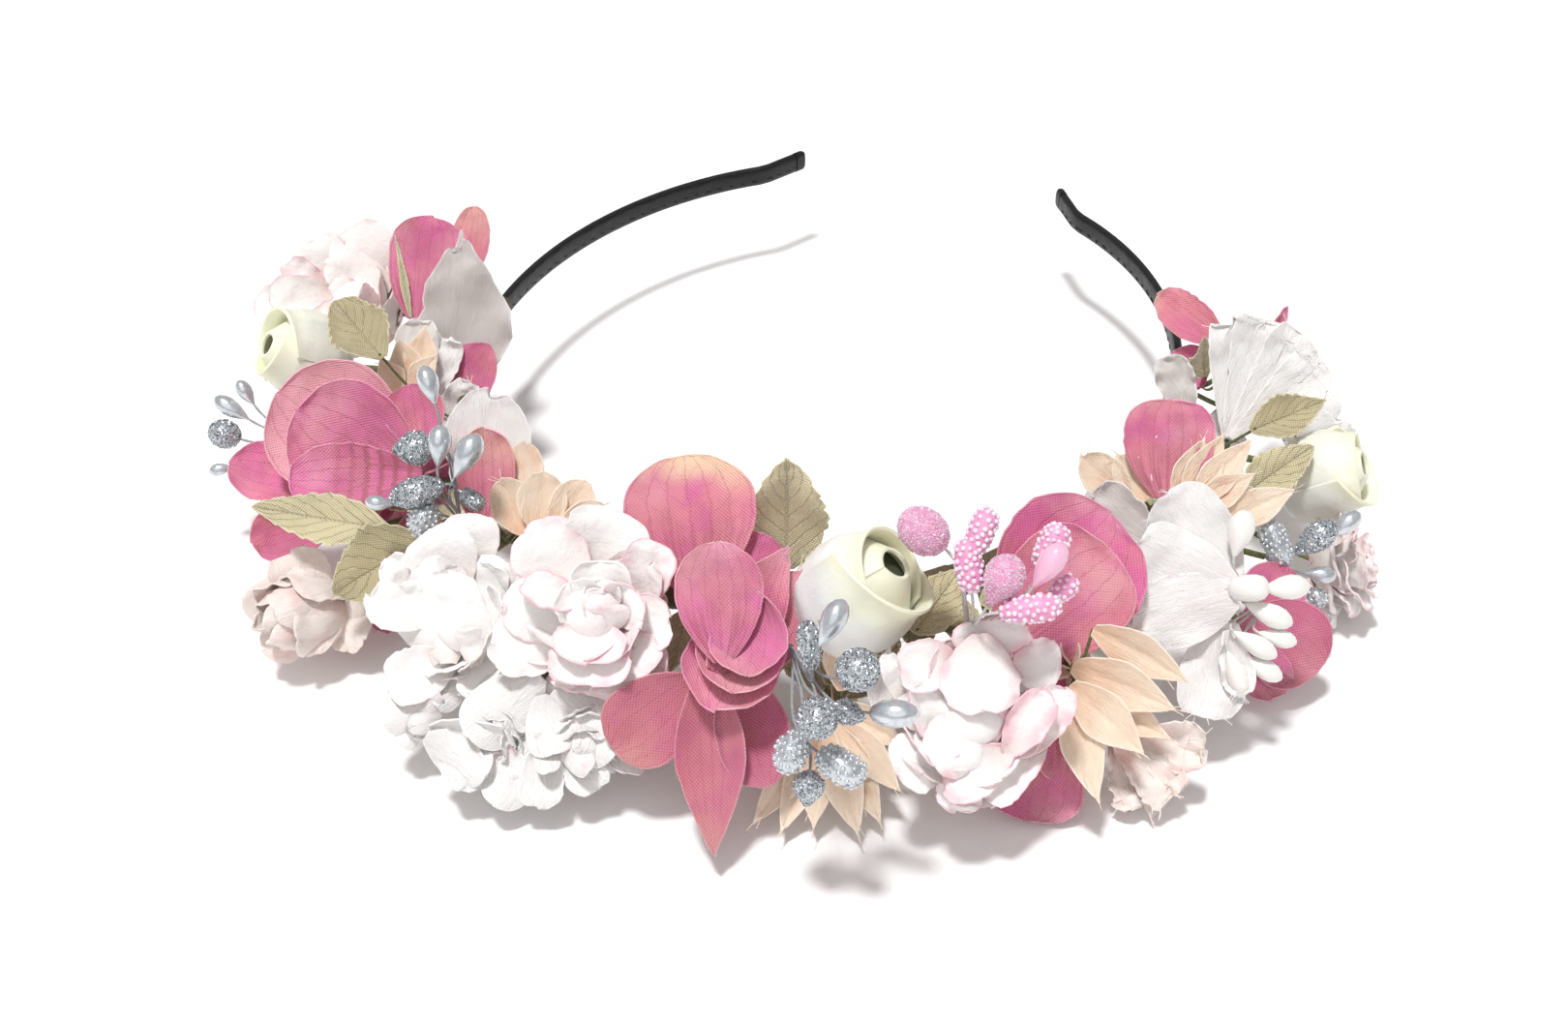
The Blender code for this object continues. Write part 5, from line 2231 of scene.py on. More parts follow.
@dataclass
class StamenBunch:
    """A bunch of wired drops that spread from a common base."""

    node: str
    slot: str
    base: Spot
    drops: tuple[Drop, ...]
    paint: Finish
    stalk: Finish

    def stalk_rings(self, start: Array, end: Array, aim: Array) -> list[Array]:
        """Rings of a thin stalk that leaves the base and meets its drop along the drop's aim.

        Args:
            start: the stalk's foot.
            end: the drop's foot.
            aim: the drop's direction.

        Returns:
            The rings, from the foot up.
        """
        rings = []
        reach = float(np.linalg.norm(end - start))
        early = start + (end - start) * 0.35
        late = end - aim * reach * 0.35
        guide = np.array([0.3, 0.2, 1.0])
        for part in np.linspace(0, 1, 12):
            rest = 1 - part
            centre = rest**3 * start + 3 * rest**2 * part * early
            centre = centre + 3 * rest * part**2 * late + part**3 * end
            axis = rest**2 * (early - start) + 2 * rest * part * (late - early)
            axis = unit(axis + part**2 * (end - late))
            first = unit(np.cross(guide, axis))
            second = np.cross(axis, first)
            radius = 0.22 + 0.04 * math.sin(part * 23)
            rings.append(centre + radius * round_spokes(first, second, 7))
        return rings

    def build(self) -> None:
        """Makes the stalks and smooth drops one piece, and each coat of grains another."""
        stock = SheetStock([self.paint, self.stalk])
        skins: dict[DropKind, SheetStock] = {}
        stance = BAND.show_side(self.base)
        lay_wire(stock, BAND.foot(self.base.station), stance.middle, 0.6)
        for drop in self.drops:
            middle = stance.point(drop.middle)
            axis = unit(stance.point(drop.aim) - stance.middle)
            half_long, half_wide = 0.5 * drop.length, 0.5 * drop.width
            foot = middle - axis * half_long * 0.92
            stock.add_tube(self.stalk_rings(stance.middle, foot, axis), PLAIN_TONE, self.stalk)
            outline = [(along * half_long, across * half_wide) for along, across in drop.form.value]
            if drop.kind in (DropKind.PEARL, DropKind.SMOOTH):
                stock.add_turned(middle, axis, outline, (0.5, drop.deep, 0.0), self.paint, 20)
                continue
            core = Finish.SILVER_PEARL if self.slot == "silver_bead" else Finish.PINK_CORE
            stock.add_turned(middle, axis, outline, PLAIN_TONE, core, 16)
            skin = skins.setdefault(drop.kind, SheetStock([core]))
            skin.add_turned(middle, axis, outline, PLAIN_TONE, core, 16)
        hand_in(stock.make(f"{self.node}_drops"), self.node)
        for kind, skin in skins.items():
            self.coat(kind, skin)

    def coat(self, kind: DropKind, skin: SheetStock) -> None:
        """Covers the drops of one kind with their grains.

        Args:
            kind: what covers them.
            skin: the drops' own skins.
        """
        silver = self.slot == "silver_bead"
        if kind is DropKind.SEED:
            coat = GrainCoat("seed_beads", 0.4, 0.82, 5, True, 0.1)
            paint = Finish.SILVER_PEARL if silver else Finish.PINK_SEED
        elif kind is DropKind.GLITTER:
            coat = GrainCoat("glitter_grains", 0.2, 0.32, 9, False)
            paint = Finish.SILVER_GLITTER
        else:
            coat = GrainCoat("sugar_grains", 0.17, 0.3, 7, False)
            paint = Finish.PINK_SUGAR
        worker = skin.make("skin")
        piece = coat.coat(f"{self.node}_{kind.value}", worker.data, paint)
        bpy.data.objects.remove(worker, do_unlink=True)
        hand_in(piece, self.node)


# --------------------------------------------------------------------------------------
# Band, binding and stems
# --------------------------------------------------------------------------------------


def section_ring(
    centre: Array, outward: Array, half_width: float, half_height: float, corner: float, sides: int
) -> Array:
    """A ring of points round a flat rounded section.

    Args:
        centre: its middle in millimetres.
        outward: the direction of its width.
        half_width: half its width.
        half_height: half its height.
        corner: how square it is, from 2 for an oval upwards.
        sides: how many points it has.

    Returns:
        The ring's points.
    """
    turn = np.arange(sides) * 2 * math.pi / sides
    cosine, sine = np.cos(turn), np.sin(turn)
    wide = half_width * np.sign(cosine) * np.abs(cosine) ** (2 / corner)
    high = half_height * np.sign(sine) * np.abs(sine) ** (2 / corner)
    return centre + wide[:, None] * outward + high[:, None] * UP


@dataclass
class RibbonBand:
    """The ribbon sleeve, its folded tips, its seam stitches and the strip inside.

    gap is between the sleeve's end and the fold; corner is how square the section is.
    """

    half_width: float = 1.0
    half_height: float = 2.15
    tip_length: float = 3.0
    gap: float = 0.3
    sides: int = 28
    corner: float = 3.0
    steps: int = 260
    stitch_gap: float = 1.9

    def sleeve(self) -> None:
        """Makes the ribbon sleeve along the whole band."""
        stock = SheetStock([Finish.BLACK_SATIN])
        rings = []
        line = BAND.arm_line(self.steps)
        for number, (point, outward) in enumerate(line):
            pull = 0.05 * noise.noise(Vector((number * 0.21, 2.0, 0.0)))
            wide = self.half_width * (1 + pull)
            high = self.half_height * (1 - 0.3 * pull)
            rings.append(section_ring(point, outward, wide, high, self.corner, self.sides))
        stock.add_tube(rings, PLAIN_TONE, Finish.BLACK_SATIN)
        hand_in(stock.make("ribbon_wrap_sleeve"), "ribbon_wrap")

    def tips(self) -> None:
        """Folds the ribbon over each end of the strip."""
        line = BAND.arm_line(self.steps)
        for side, end, before in (("left", 0, 1), ("right", -1, -2)):
            point, outward = line[end]
            ahead = unit(point - line[before][0])
            stock = SheetStock([Finish.BLACK_SATIN])
            rings = []
            for part in np.linspace(0, 1, 9):
                close = 1.0 if part < 0.6 else math.sqrt(max(0.04, 1 - ((part - 0.6) / 0.42) ** 2))
                centre = point + ahead * (self.gap + self.tip_length * part)
                wide = 1.04 * self.half_width * close
                high = 1.03 * self.half_height * (0.55 + 0.45 * close)
                rings.append(section_ring(centre, outward, wide, high, self.corner, self.sides))
            stock.add_tube(rings, PLAIN_TONE, Finish.BLACK_SATIN)
            hand_in(stock.make(f"ribbon_tip_{side}_fold"), f"ribbon_tip_{side}")

    def stitches(self) -> None:
        """Sews the sleeve's seam along the band's inner face."""
        line = BAND.arm_line(self.steps)
        starts: list[Array] = []
        ways: list[Array] = []
        travel = 0.0
        for (point, outward), (after, _) in zip(line[:-1], line[1:]):
            step = float(np.linalg.norm(after - point))
            travel += step
            if travel >= self.stitch_gap:
                travel = 0.0
                along = unit(after - point)
                lean = along + np.array([0.0, 0.0, 0.25])
                starts.append(point - outward * (self.half_width + 0.03) + np.array([0.0, 0.0, -0.9]))
                ways.append(unit(lean))
        row = ThreadRow("seam_stitches", 1.0, 0.11)
        piece = row.make("ribbon_wrap_stitches", np.array(starts), np.array(ways), Finish.BLACK_SATIN)
        attributes = piece.data.attributes
        layer = attributes.get("cloth") or attributes.new("cloth", "FLOAT_VECTOR", "POINT")
        layer.data.foreach_set("vector", np.zeros(len(piece.data.vertices) * 3, np.float32))
        hand_in(piece, "ribbon_wrap")

    def strip(self) -> None:
        """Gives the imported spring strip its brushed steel."""
        strip = next(o for o in bpy.context.scene.objects if o.name == "spring_strip")
        for slot in strip.material_slots:
            slot.material = Finish.SPRING_STEEL.material()

    def build(self) -> None:
        """Makes the covered band."""
        self.sleeve()
        self.tips()
        self.stitches()
        self.strip()


@dataclass
class StemBinding:
    """Floral tape wound over the stems that lie along the band."""

    start: float = -88.0
    end: float = 103.0
    half_width: float = 1.9
    half_height: float = 3.1
    wind: float = 5.5
    corner: float = 2.4
    sides: int = 26
    steps: int = 420

    def build(self) -> None:
        """Winds the tape and hands it in."""
        stock = SheetStock([Finish.FLORAL_TAPE])
        rings = []
        travel = 0.0
        last: Array | None = None
        turn = np.arange(self.sides) / self.sides
        for step in range(self.steps + 1):
            station = self.start + (self.end - self.start) * step / self.steps
            centre = BAND.place(Spot(station, 0.0, BAND.height))
            outward = BAND.axes(station)[1]
            travel += 0.0 if last is None else float(np.linalg.norm(centre - last))
            last = centre
            taper = min(1.0, 0.62 + 0.38 * min(step, self.steps - step) / 8)
            wide, high = self.half_width * taper, self.half_height * taper
            ring = section_ring(centre, outward, wide, high, self.corner, self.sides)
            lap = (travel / self.wind + turn) % 1.0
            lump = 0.10 * noise.noise(Vector((travel * 0.15, 1.0, 0.0)))
            grow = 1 + 0.07 * lap + lump
            ring = centre + (ring - centre) * grow[:, None]
            rings.append(ring)
        stock.add_tube(rings, PLAIN_TONE, Finish.FLORAL_TAPE)
        hand_in(stock.make("stem_binding_tape"), "stem_binding")


@dataclass
class FillerLeaves:
    """Small khaki leaves bound in among the stems, which close the gaps behind the flowers."""

    first: float = -52.0
    last: float = 72.0
    count: int = 22
    length: float = 12.5
    width: float = 7.5

    def build(self) -> None:
        """Lays the leaves along the binding and hands them in as one piece."""
        stock = SheetStock([Finish.KHAKI_SATIN])
        cut = Cut(
            LEAF, self.width, bend=25, cup=25, ruffle=0.4, serration=7, thickness=0.26, rows=22, columns=10
        )
        for number in range(self.count):
            sway = sways((number * 1.7, 0.6, 2.2))
            station = self.first + (self.last - self.first) * number / (self.count - 1)
            base = BAND.place(Spot(station, 2.4, BAND.height - 0.6))
            reach = self.length * (1 + 0.35 * sway[0])
            tip = BAND.place(Spot(station + 9 * sway[1], 2.4 + reach, BAND.height - 2.5 + 4 * sway[2]))
            petal = loose_petal(cut, (0.1, 0.45 + 0.3 * sway[0], 0.0))
            shape_between(stock, base, tip, UP, UP, petal, Finish.KHAKI_SATIN, 140.0 + number)
        hand_in(stock.make("stem_binding_leaves"), "stem_binding")


@dataclass
class WireStem:
    """A paper-wrapped wire from the band to the back of a flower."""

    node: str
    spot: Spot
    radius: float = 0.62

    def build(self) -> None:
        """Bends the wire and hands it in."""
        start = BAND.place(Spot(self.spot.station, 2.1, BAND.height + 0.2))
        end = BAND.place(self.spot)
        stock = SheetStock([Finish.STEM_PAPER])
        rings = []
        axis = unit(end - start)
        first = unit(np.cross(np.array([0.1, 0.0, 1.0]), axis))
        second = np.cross(axis, first)
        spokes = round_spokes(first, second, 12)
        for part in np.linspace(0, 0.8, 26):
            sag = math.sin(math.pi * part / 0.8) * 0.4
            centre = start + (end - start) * part - np.array([0.0, 0.0, sag])
            radius = self.radius * (1 + 0.08 * math.sin(part * 40))
            rings.append(centre + radius * spokes)
        stock.add_tube(rings, PLAIN_TONE, Finish.STEM_PAPER)
        hand_in(stock.make(f"{self.node}_wire"), self.node)


# --------------------------------------------------------------------------------------
# The crown's flowers
# --------------------------------------------------------------------------------------


def cloth_cut(width: float, **changes: object) -> Cut:
    """A round cloth petal of a width, with changes to its shape."""
    return replace(CLOTH, width=width, **changes)


def peach_cut(width: float, **changes: object) -> Cut:
    """A pointed cloth petal of a width."""
    return replace(POINT, width=width, **changes)


def satin_cut(width: float, **changes: object) -> Cut:
    """A folded satin petal of a width."""
    return replace(SATIN, width=width, **changes)


def cloth_blooms() -> list[PetalFlower]:
    """The pink die-cut blooms, petal by petal, from the left end to the right end."""
    pink = "pink_cloth"

    def bloom(node: str, spot: Spot, petals: tuple[Petal, ...], seed: float) -> PetalFlower:
        """One bloom."""
        return PetalFlower(node, pink, spot, petals, Finish.PINK_CLOTH, seed)

    white = Finish.WHITE_CLOTH
    return [
        bloom("cloth_bloom_back_left", Spot(-73, 6, 38), (
            Petal((1.0, -27.0, 3.2), (10.6, -13.6, 3.4), cloth_cut(11.0, outline=OVAL), (0.75, 0.1, 0.0)),
            Petal((4.0, -3.5, -3.0), (7.2, 13.2, -2.5), cloth_cut(7.6, bend=30, cup=30), (0.15, 0.0, 0.6)),
            Petal(
                (-3.0, -8.5, 0.0), (-0.4, 10.8, -0.5),
                cloth_cut(15.0, outline=BROAD, bend=25, cup=22), (0.8, 0.1, 0.0),
            ),
            Petal(
                (-4.6, -8.0, 0.8), (-7.6, 7.6, 0.2),
                cloth_cut(1.5, outline=LANCE), (0.3, 0.2, 0.0), finish=Finish.KHAKI_SATIN,
            ),
        ), 1.0),
        bloom("cloth_bloom_left_upper", Spot(-46, 23, 33), (
            Petal(
                (11.8, -9.8, -3.0), (-12.5, 6.5, -4.0),
                cloth_cut(25.0, bend=50, cup=28, open=24), (1.85, 0.0, 0.3),
            ),
            Petal(
                (12.7, -9.8, 0.0), (-8.0, 3.0, 0.5),
                cloth_cut(22.0, bend=55, cup=30, open=26), (0.9, 0.0, 0.0),
            ),
            Petal(
                (14.3, -8.2, 3.5), (-8.7, -9.2, 3.0),
                cloth_cut(13.0, bend=40, cup=40, open=28), (0.85, 0.05, -1.0), lean=15,
            ),
            Petal((13.0, -4.0, -1.0), (11.0, 7.5, -3.0), cloth_cut(11.0, bend=40), (0.45, 0.1, 0.3)),
        ), 3.0),
        bloom("cloth_bloom_left_lower", Spot(-46, 25, 16), (
            Petal(
                (-4.0, 4.5, 2.0), (-20.2, 8.2, 0.0),
                cloth_cut(12.0, bend=55, cup=45, open=35), (0.9, 0.0, 0.0), lean=20,
            ),
            Petal((-1.0, -1.0, -1.0), (-16.5, -6.0, 0.0), cloth_cut(10.5, bend=35), (0.5, 0.35, 0.0)),
            Petal(
                (6.8, -11.5, 5.0), (9.0, -21.5, 6.0),
                cloth_cut(7.0, bend=45, cup=50), (0.8, 0.1, 0.0), lean=-30,
            ),
            # Depth 0.9: a crimson petal, its dark also painted shade for the gap behind it.
            Petal((19.5, 1.0, 2.0), (11.0, -7.5, 1.0), cloth_cut(9.0, bend=30), (0.7, 0.9, 0.0)),
            Petal((6.0, -9.0, -2.0), (3.0, -20.0, 2.0), cloth_cut(9.0, bend=30), (0.3, 0.1, 0.4)),
        ), 5.0),
        bloom("cloth_bloom_inner_left", Spot(-29, 2, 34), (
            Petal(
                (-4.0, -11.5, -2.0), (-4.2, 11.6, -2.0),
                cloth_cut(15.0, nick=0.06, cup=35), (0.5, 0.0, 0.3), finish=white,
            ),
            Petal(
                (-4.5, -12.0, 1.0), (-4.7, 5.6, 0.5),
                cloth_cut(11.0, cup=45, open=35, bend=30), (0.15, 0.1, 0.9), lean=15,
            ),
            Petal(
                (0.5, -11.0, 0.0), (2.5, 3.0, -1.0),
                cloth_cut(8.0, cup=30), (0.0, 0.0, 0.9), lean=-20, finish=Finish.PEACH_CLOTH,
            ),
        ), 7.0),
        bloom("cloth_bloom_front_upper", Spot(4.5, 8, 38), (
            Petal(
                (-0.3, -8.4, -0.5), (-2.7, 13.2, -1.5),
                cloth_cut(21.0, bend=22, cup=18, open=12, columns=22, rows=26), (0.35, 0.0, 1.0),
            ),
            Petal((6.5, -8.0, -1.5), (10.5, 0.5, -2.5), cloth_cut(10.0, bend=20), (0.6, 0.1, 0.0)),
        ), 9.0),
        bloom("cloth_bloom_front_middle", Spot(9, 22, 37), (
            Petal((7.4, -9.7, -4.0), (11.5, 5.0, -5.0), cloth_cut(8.5), (0.3, 0.35, 0.2)),
            Petal(
                (-1.5, -10.0, 0.0), (9.6, 8.6, -3.0),
                cloth_cut(11.5, outline=POINTED, bend=30, cup=30), (0.7, 0.0, 0.1), lean=10,
            ),
            Petal(
                (4.5, 1.5, -2.5), (-1.5, -15.8, 0.5),
                cloth_cut(16.0, bend=75, cup=40, open=35), (0.75, 0.0, 0.1), lean=10,
            ),
            Petal(
                (4.2, 2.0, -0.8), (1.2, -13.0, 2.0),
                cloth_cut(15.0, bend=80, cup=42, open=38), (0.7, 0.0, 0.1), lean=12,
            ),
            Petal(
                (3.8, 2.5, 0.5), (3.4, -10.4, 3.4),
                cloth_cut(13.5, bend=85, cup=45, open=40), (0.75, 0.0, 0.1), lean=14,
            ),
            Petal(
                (-0.3, -8.6, 1.0), (-1.2, 9.4, 2.6),
                cloth_cut(13.4, bend=30, cup=22, open=14, columns=20, rows=24), (0.75, 0.0, 0.1),
            ),
        ), 11.0),
        # Depths of 0.75 paint shade on these low front petals, which lie in shadow.
        bloom("cloth_bloom_front_lower", Spot(8, 30, 16.5), (
            Petal((-2.0, 8.8, -2.0), (-14.4, -1.5, -2.0), cloth_cut(13.5, outline=BROAD), (0.1, 0.75, 0.5)),
            Petal(
                (4.0, 11.5, 0.0), (9.0, -6.8, 1.0),
                cloth_cut(12.0, bend=30, cup=30), (0.65, 0.75, 0.0), lean=-10,
            ),
            Petal(
                (0.0, 10.5, 2.0), (1.0, -17.0, 3.0),
                cloth_cut(11.8, outline=POINTED, bend=25, cup=30, open=35, rows=26),
                (0.3, 0.75, 0.5), lean=10,
            ),
        ), 13.0),
        bloom("cloth_bloom_right_upper", Spot(41, 19, 33), (
            Petal(
                (-4.5, -10.8, -2.5), (11.0, 9.8, -3.0),
                cloth_cut(24.5, bend=25, cup=20, open=14, columns=22, rows=24), (0.9, 0.0, 0.0),
            ),
            Petal(
                (-6.5, -11.4, 0.0), (11.0, 3.6, 0.0),
                cloth_cut(20.5, outline=BROAD, bend=30, cup=24, open=16, columns=22, rows=24),
                (0.5, 0.0, 0.15),
            ),
        ), 15.0),
        bloom("cloth_bloom_right_lower", Spot(36.5, 28, 13), (
            Petal((3.5, -1.0, 0.0), (0.5, -15.8, 1.0), cloth_cut(16.0, outline=BROAD), (0.75, 0.1, 0.0)),
            Petal(
                (6.3, 9.5, 1.0), (4.7, -9.3, 0.0),
                cloth_cut(8.5, bend=30, cup=35), (0.6, 0.15, 0.0), lean=-25,
            ),
        ), 17.0),
        bloom("cloth_bloom_far_right", Spot(64, 36, 13), (
            Petal((-3.0, -0.2, -2.0), (1.9, 9.5, -2.0), cloth_cut(11.0), (0.85, 0.15, 0.0)),
            Petal((-3.0, -2.6, -1.0), (-1.1, -12.8, 0.0), cloth_cut(9.0), (0.8, 0.1, 0.0)),
            # Depth 0.65 paints shade on this petal.
            Petal((-6.0, 1.5, 0.0), (7.6, -7.0, 0.0), cloth_cut(15.5, bend=30), (0.85, 0.65, 0.0)),
        ), 19.0),
        bloom("cloth_bloom_back_right", Spot(65, 8, 39), (
            Petal(
                (2.0, -11.5, 0.0), (2.8, 5.3, -1.0),
                cloth_cut(15.5, outline=BROAD, bend=25, cup=26), (0.35, 0.0, 0.5),
            ),
        ), 21.0),
        bloom("cloth_bloom_end_right", Spot(99, 5, 28), (
            Petal(
                (3.0, -0.5, 0.0), (-9.7, 8.8, 0.0),
                cloth_cut(9.0, bend=35, cup=40), (0.1, 0.0, 0.6), lean=15,
            ),
            Petal((-1.0, -8.5, -1.5), (-6.5, -2.0, -2.0), cloth_cut(9.5), (0.85, 0.0, 0.0)),
            Petal(
                (9.0, -7.0, -2.5), (14.8, 6.4, -0.5),
                cloth_cut(3.8, outline=OVAL, cup=80, open=80), (0.9, 0.1, 0.0),
            ),
        ), 23.0),
    ]


def pointed_flowers() -> list[PetalFlower]:
    """The peach flowers with pointed folded petals."""

    def flower(node: str, spot: Spot, petals: tuple[Petal, ...], seed: float) -> PetalFlower:
        """One peach flower."""
        return PetalFlower(node, "peach_cloth", spot, petals, Finish.PEACH_CLOTH, seed, threads=3)

    light = (0.4, 0.0, 0.2)
    warm = (0.6, 0.1, 0.5)
    return [
        flower("pointed_flower_back_left", Spot(-62, 12, 28), (
            Petal((2.5, -3.7, 0.0), (0.2, 5.2, 0.0), peach_cut(6.5), light),
            Petal((3.4, -2.8, 0.0), (5.0, 7.4, -1.0), peach_cut(6.5), warm),
            Petal((0.7, -4.6, 1.0), (-3.0, 1.5, 1.5), peach_cut(5.5), light),
            Petal((2.6, -4.0, 1.5), (7.4, 2.0, 2.0), peach_cut(5.0), light),
            Petal(
                (3.2, -6.0, -2.0), (3.4, 9.0, -2.5),
                satin_cut(8.0, nick=0.09), (0.5, 0.0, 0.0), finish=Finish.WHITE_CLOTH,
            ),
            Petal(
                (4.8, -6.0, -3.0), (9.4, 6.0, -3.0),
                satin_cut(7.0, nick=0.09), (0.5, 0.0, 0.0), finish=Finish.WHITE_CLOTH,
            ),
            Petal(
                (8.2, -15.5, -1.5), (13.4, -2.5, -1.0),
                satin_cut(8.0, nick=0.06), (0.5, 0.0, 0.3), finish=Finish.WHITE_CLOTH,
            ),
        ), 31.0),
        flower("pointed_flower_left", Spot(-19.5, 6, 31), (
            Petal((-2.2, -3.0, -1.0), (-6.5, 6.0, -1.0), peach_cut(7.5, outline=OVAL), warm),
            Petal((0.4, -3.0, 0.0), (0.6, 7.2, 0.0), peach_cut(8.6, outline=OVAL), light),
            Petal((2.8, -3.0, 0.5), (7.6, 5.7, 0.0), peach_cut(7.5, outline=OVAL), warm),
            Petal((3.6, -3.6, 1.5), (10.6, 1.7, 1.0), peach_cut(6.2, outline=OVAL), light),
        ), 33.0),
        flower("pointed_flower_front", Spot(18, 24, 13.7), (
            Petal((0.0, 0.0, 0.0), (-10.6, -14.0, 1.0), peach_cut(6.0), light),
            Petal((0.0, 0.0, -1.0), (-6.4, -15.4, 1.5), peach_cut(6.0), warm),
            Petal((0.0, 0.0, 0.0), (-1.4, -14.6, 1.5), peach_cut(6.0), warm),
            Petal((1.0, 0.0, 1.0), (5.6, -15.8, 2.0), peach_cut(6.4), light),
            Petal((2.0, 1.0, 0.0), (9.0, -14.0, 0.5), peach_cut(6.0), warm),
            Petal((2.0, 2.0, 1.0), (12.0, -9.0, 1.0), peach_cut(6.2), light),
            Petal((2.0, 4.0, 0.5), (12.6, -2.0, 0.0), peach_cut(6.0), light),
            Petal((3.1, 6.6, 1.5), (1.9, 17.4, 2.0), peach_cut(5.0), light),
            # Three khaki leaves behind the flower fill the gaps; their dark tone is partly real khaki and
            # partly painted shade in those gaps.
            Petal(
                (1.0, 7.0, -4.0), (5.8, 21.0, -4.0),
                peach_cut(8.5, outline=LEAF), (0.1, 0.6, 0.0), finish=Finish.KHAKI_SATIN,
            ),
            Petal(
                (0.0, 6.0, -5.0), (-5.5, 17.5, -5.0),
                peach_cut(8.0, outline=LEAF), (0.1, 0.8, 0.0), finish=Finish.KHAKI_SATIN,
            ),
            Petal(
                (3.0, 5.0, -5.0), (12.5, 13.5, -5.0),
                peach_cut(7.0, outline=LEAF), (0.1, 0.7, 0.0), finish=Finish.KHAKI_SATIN,
            ),
            Petal(
                (8.4, 3.6, 1.5), (10.4, 13.2, 2.0),
                peach_cut(5.0), (0.5, 0.0, 0.1), finish=Finish.WHITE_CLOTH,
            ),
        ), 35.0),
        flower("pointed_flower_right", Spot(42, 35, 20), (
            Petal((-4.8, 1.5, 0.0), (9.6, -6.8, 0.0), peach_cut(7.2), warm),
            Petal((-2.1, 10.1, 2.0), (12.4, 2.0, 2.0), peach_cut(7.0), light, lean=20),
            Petal((-5.4, 4.6, 2.6), (10.2, -2.2, 2.6), peach_cut(8.2), light, lean=15),
            Petal((-5.8, 1.6, 3.2), (5.1, -8.8, 3.2), peach_cut(7.8), light, lean=10),
            Petal((-5.8, -0.3, 2.6), (-1.6, -16.2, 2.4), peach_cut(7.2), light, lean=-10),
        ), 37.0),
        flower("pointed_flower_back_right", Spot(65, 14, 32), (
            Petal((-9.0, -4.0, 0.0), (-16.6, 3.5, 0.0), peach_cut(7.4, outline=OVAL), warm),
            Petal((-6.0, -4.0, 0.5), (-10.5, 3.8, 0.0), peach_cut(6.4, outline=OVAL), light),
            Petal((-3.5, -3.0, 0.0), (0.2, 12.2, -0.5), peach_cut(7.0), light),
            Petal((-1.0, -4.4, 1.2), (3.6, 6.4, 0.6), peach_cut(6.0), light),
            Petal((0.3, -4.4, 2.0), (6.8, 7.0, 1.0), peach_cut(6.2), warm),
            Petal((1.3, -4.6, 2.6), (11.4, 6.2, 1.6), peach_cut(6.2), light),
            Petal((2.0, -5.0, 2.6), (11.6, 0.4, 2.0), peach_cut(5.6), warm),
            Petal((6.8, -7.4, 1.6), (18.6, -2.2, 1.0), peach_cut(6.4), light),
        ), 39.0),
    ]


def satin_blossoms() -> list[PetalFlower]:
    """The folded satin blossoms and the torn blush blossom."""
    plain = (0.5, 0.0, 0.05)
    white, sheer = Finish.WHITE_CLOTH, Finish.SHEER_CLOTH
    return [
        PetalFlower("satin_blossom_right", "white_cloth", Spot(52, 27, 26), (
            Petal((-1.0, 1.0, -3.0), (-8.6, -3.0, -2.0), satin_cut(6.5, bend=20), plain, finish=sheer),
            Petal(
                (0.0, 7.0, -3.0), (-11.4, 16.8, -2.4),
                satin_cut(8.6, bend=20, nick=0.05), plain, finish=sheer,
            ),
            Petal((10.6, -5.6, -0.6), (12.8, -16.0, 0.6), satin_cut(5.4, bend=40), plain),
            Petal(
                (10.6, -4.2, -0.6), (7.0, -19.6, 0.0),
                satin_cut(11.0, bend=45, cup=-15, open=-20), plain,
            ),
            Petal((11.0, 1.6, 0.0), (1.2, 16.4, -0.6), satin_cut(13.4, bend=45, cup=-12, open=-15), plain),
            Petal((11.2, 1.2, 1.4), (-4.2, 8.6, 1.0), satin_cut(10.6, bend=40, cup=-12, open=-15), plain),
            Petal(
                (11.2, 0.0, 2.2), (-4.6, -4.4, 1.6),
                satin_cut(12.0, bend=45, cup=-15, open=-18, nick=0.04), plain,
            ),
        ), white, 41.0, threads=4),
        PetalFlower("satin_blossom_back_right", "white_cloth", Spot(87, 15, 34), (
            Petal(
                (-5.4, -12.0, -1.0), (-4.4, 9.6, -1.0),
                satin_cut(9.0, outline=FAN, nick=0.06, ruffle=0.5, cup=20), plain,
            ),
            Petal(
                (-5.6, -12.0, 0.0), (1.3, 10.0, 0.0),
                satin_cut(10.0, outline=FAN, nick=0.06, ruffle=0.5, cup=20), plain,
            ),
            Petal(
                (-5.6, -12.0, 1.0), (7.5, 6.4, 0.6),
                satin_cut(10.0, outline=FAN, nick=0.06, ruffle=0.5, cup=20), plain,
            ),
            Petal(
                (-5.2, -12.0, 1.6), (10.6, 1.4, 1.0),
                satin_cut(9.0, outline=FAN, nick=0.06, ruffle=0.5, cup=20), plain,
            ),
        ), white, 43.0, threads=10),
        PetalFlower("torn_blossom_right", "blush_cloth", Spot(44.5, 40, 8), (
            Petal(
                (-4.6, 4.2, -1.0), (0.4, -7.6, 0.5),
                satin_cut(8.8, outline=FAN, nick=0.17, ruffle=1.4), (0.5, 0.0, 0.7),
            ),
            Petal(
                (-4.6, 4.2, 0.0), (8.4, 1.8, 0.5),
                satin_cut(8.8, outline=FAN, nick=0.17, ruffle=1.4), (0.5, 0.0, 0.7),
            ),
            Petal(
                (-4.6, 3.0, 1.0), (4.8, -5.4, 1.6),
                satin_cut(8.2, outline=FAN, nick=0.17, ruffle=1.2, cup=45), (0.5, 0.0, 0.9),
            ),
        ), Finish.BLUSH_CLOTH, 45.0, threads=12),
    ]


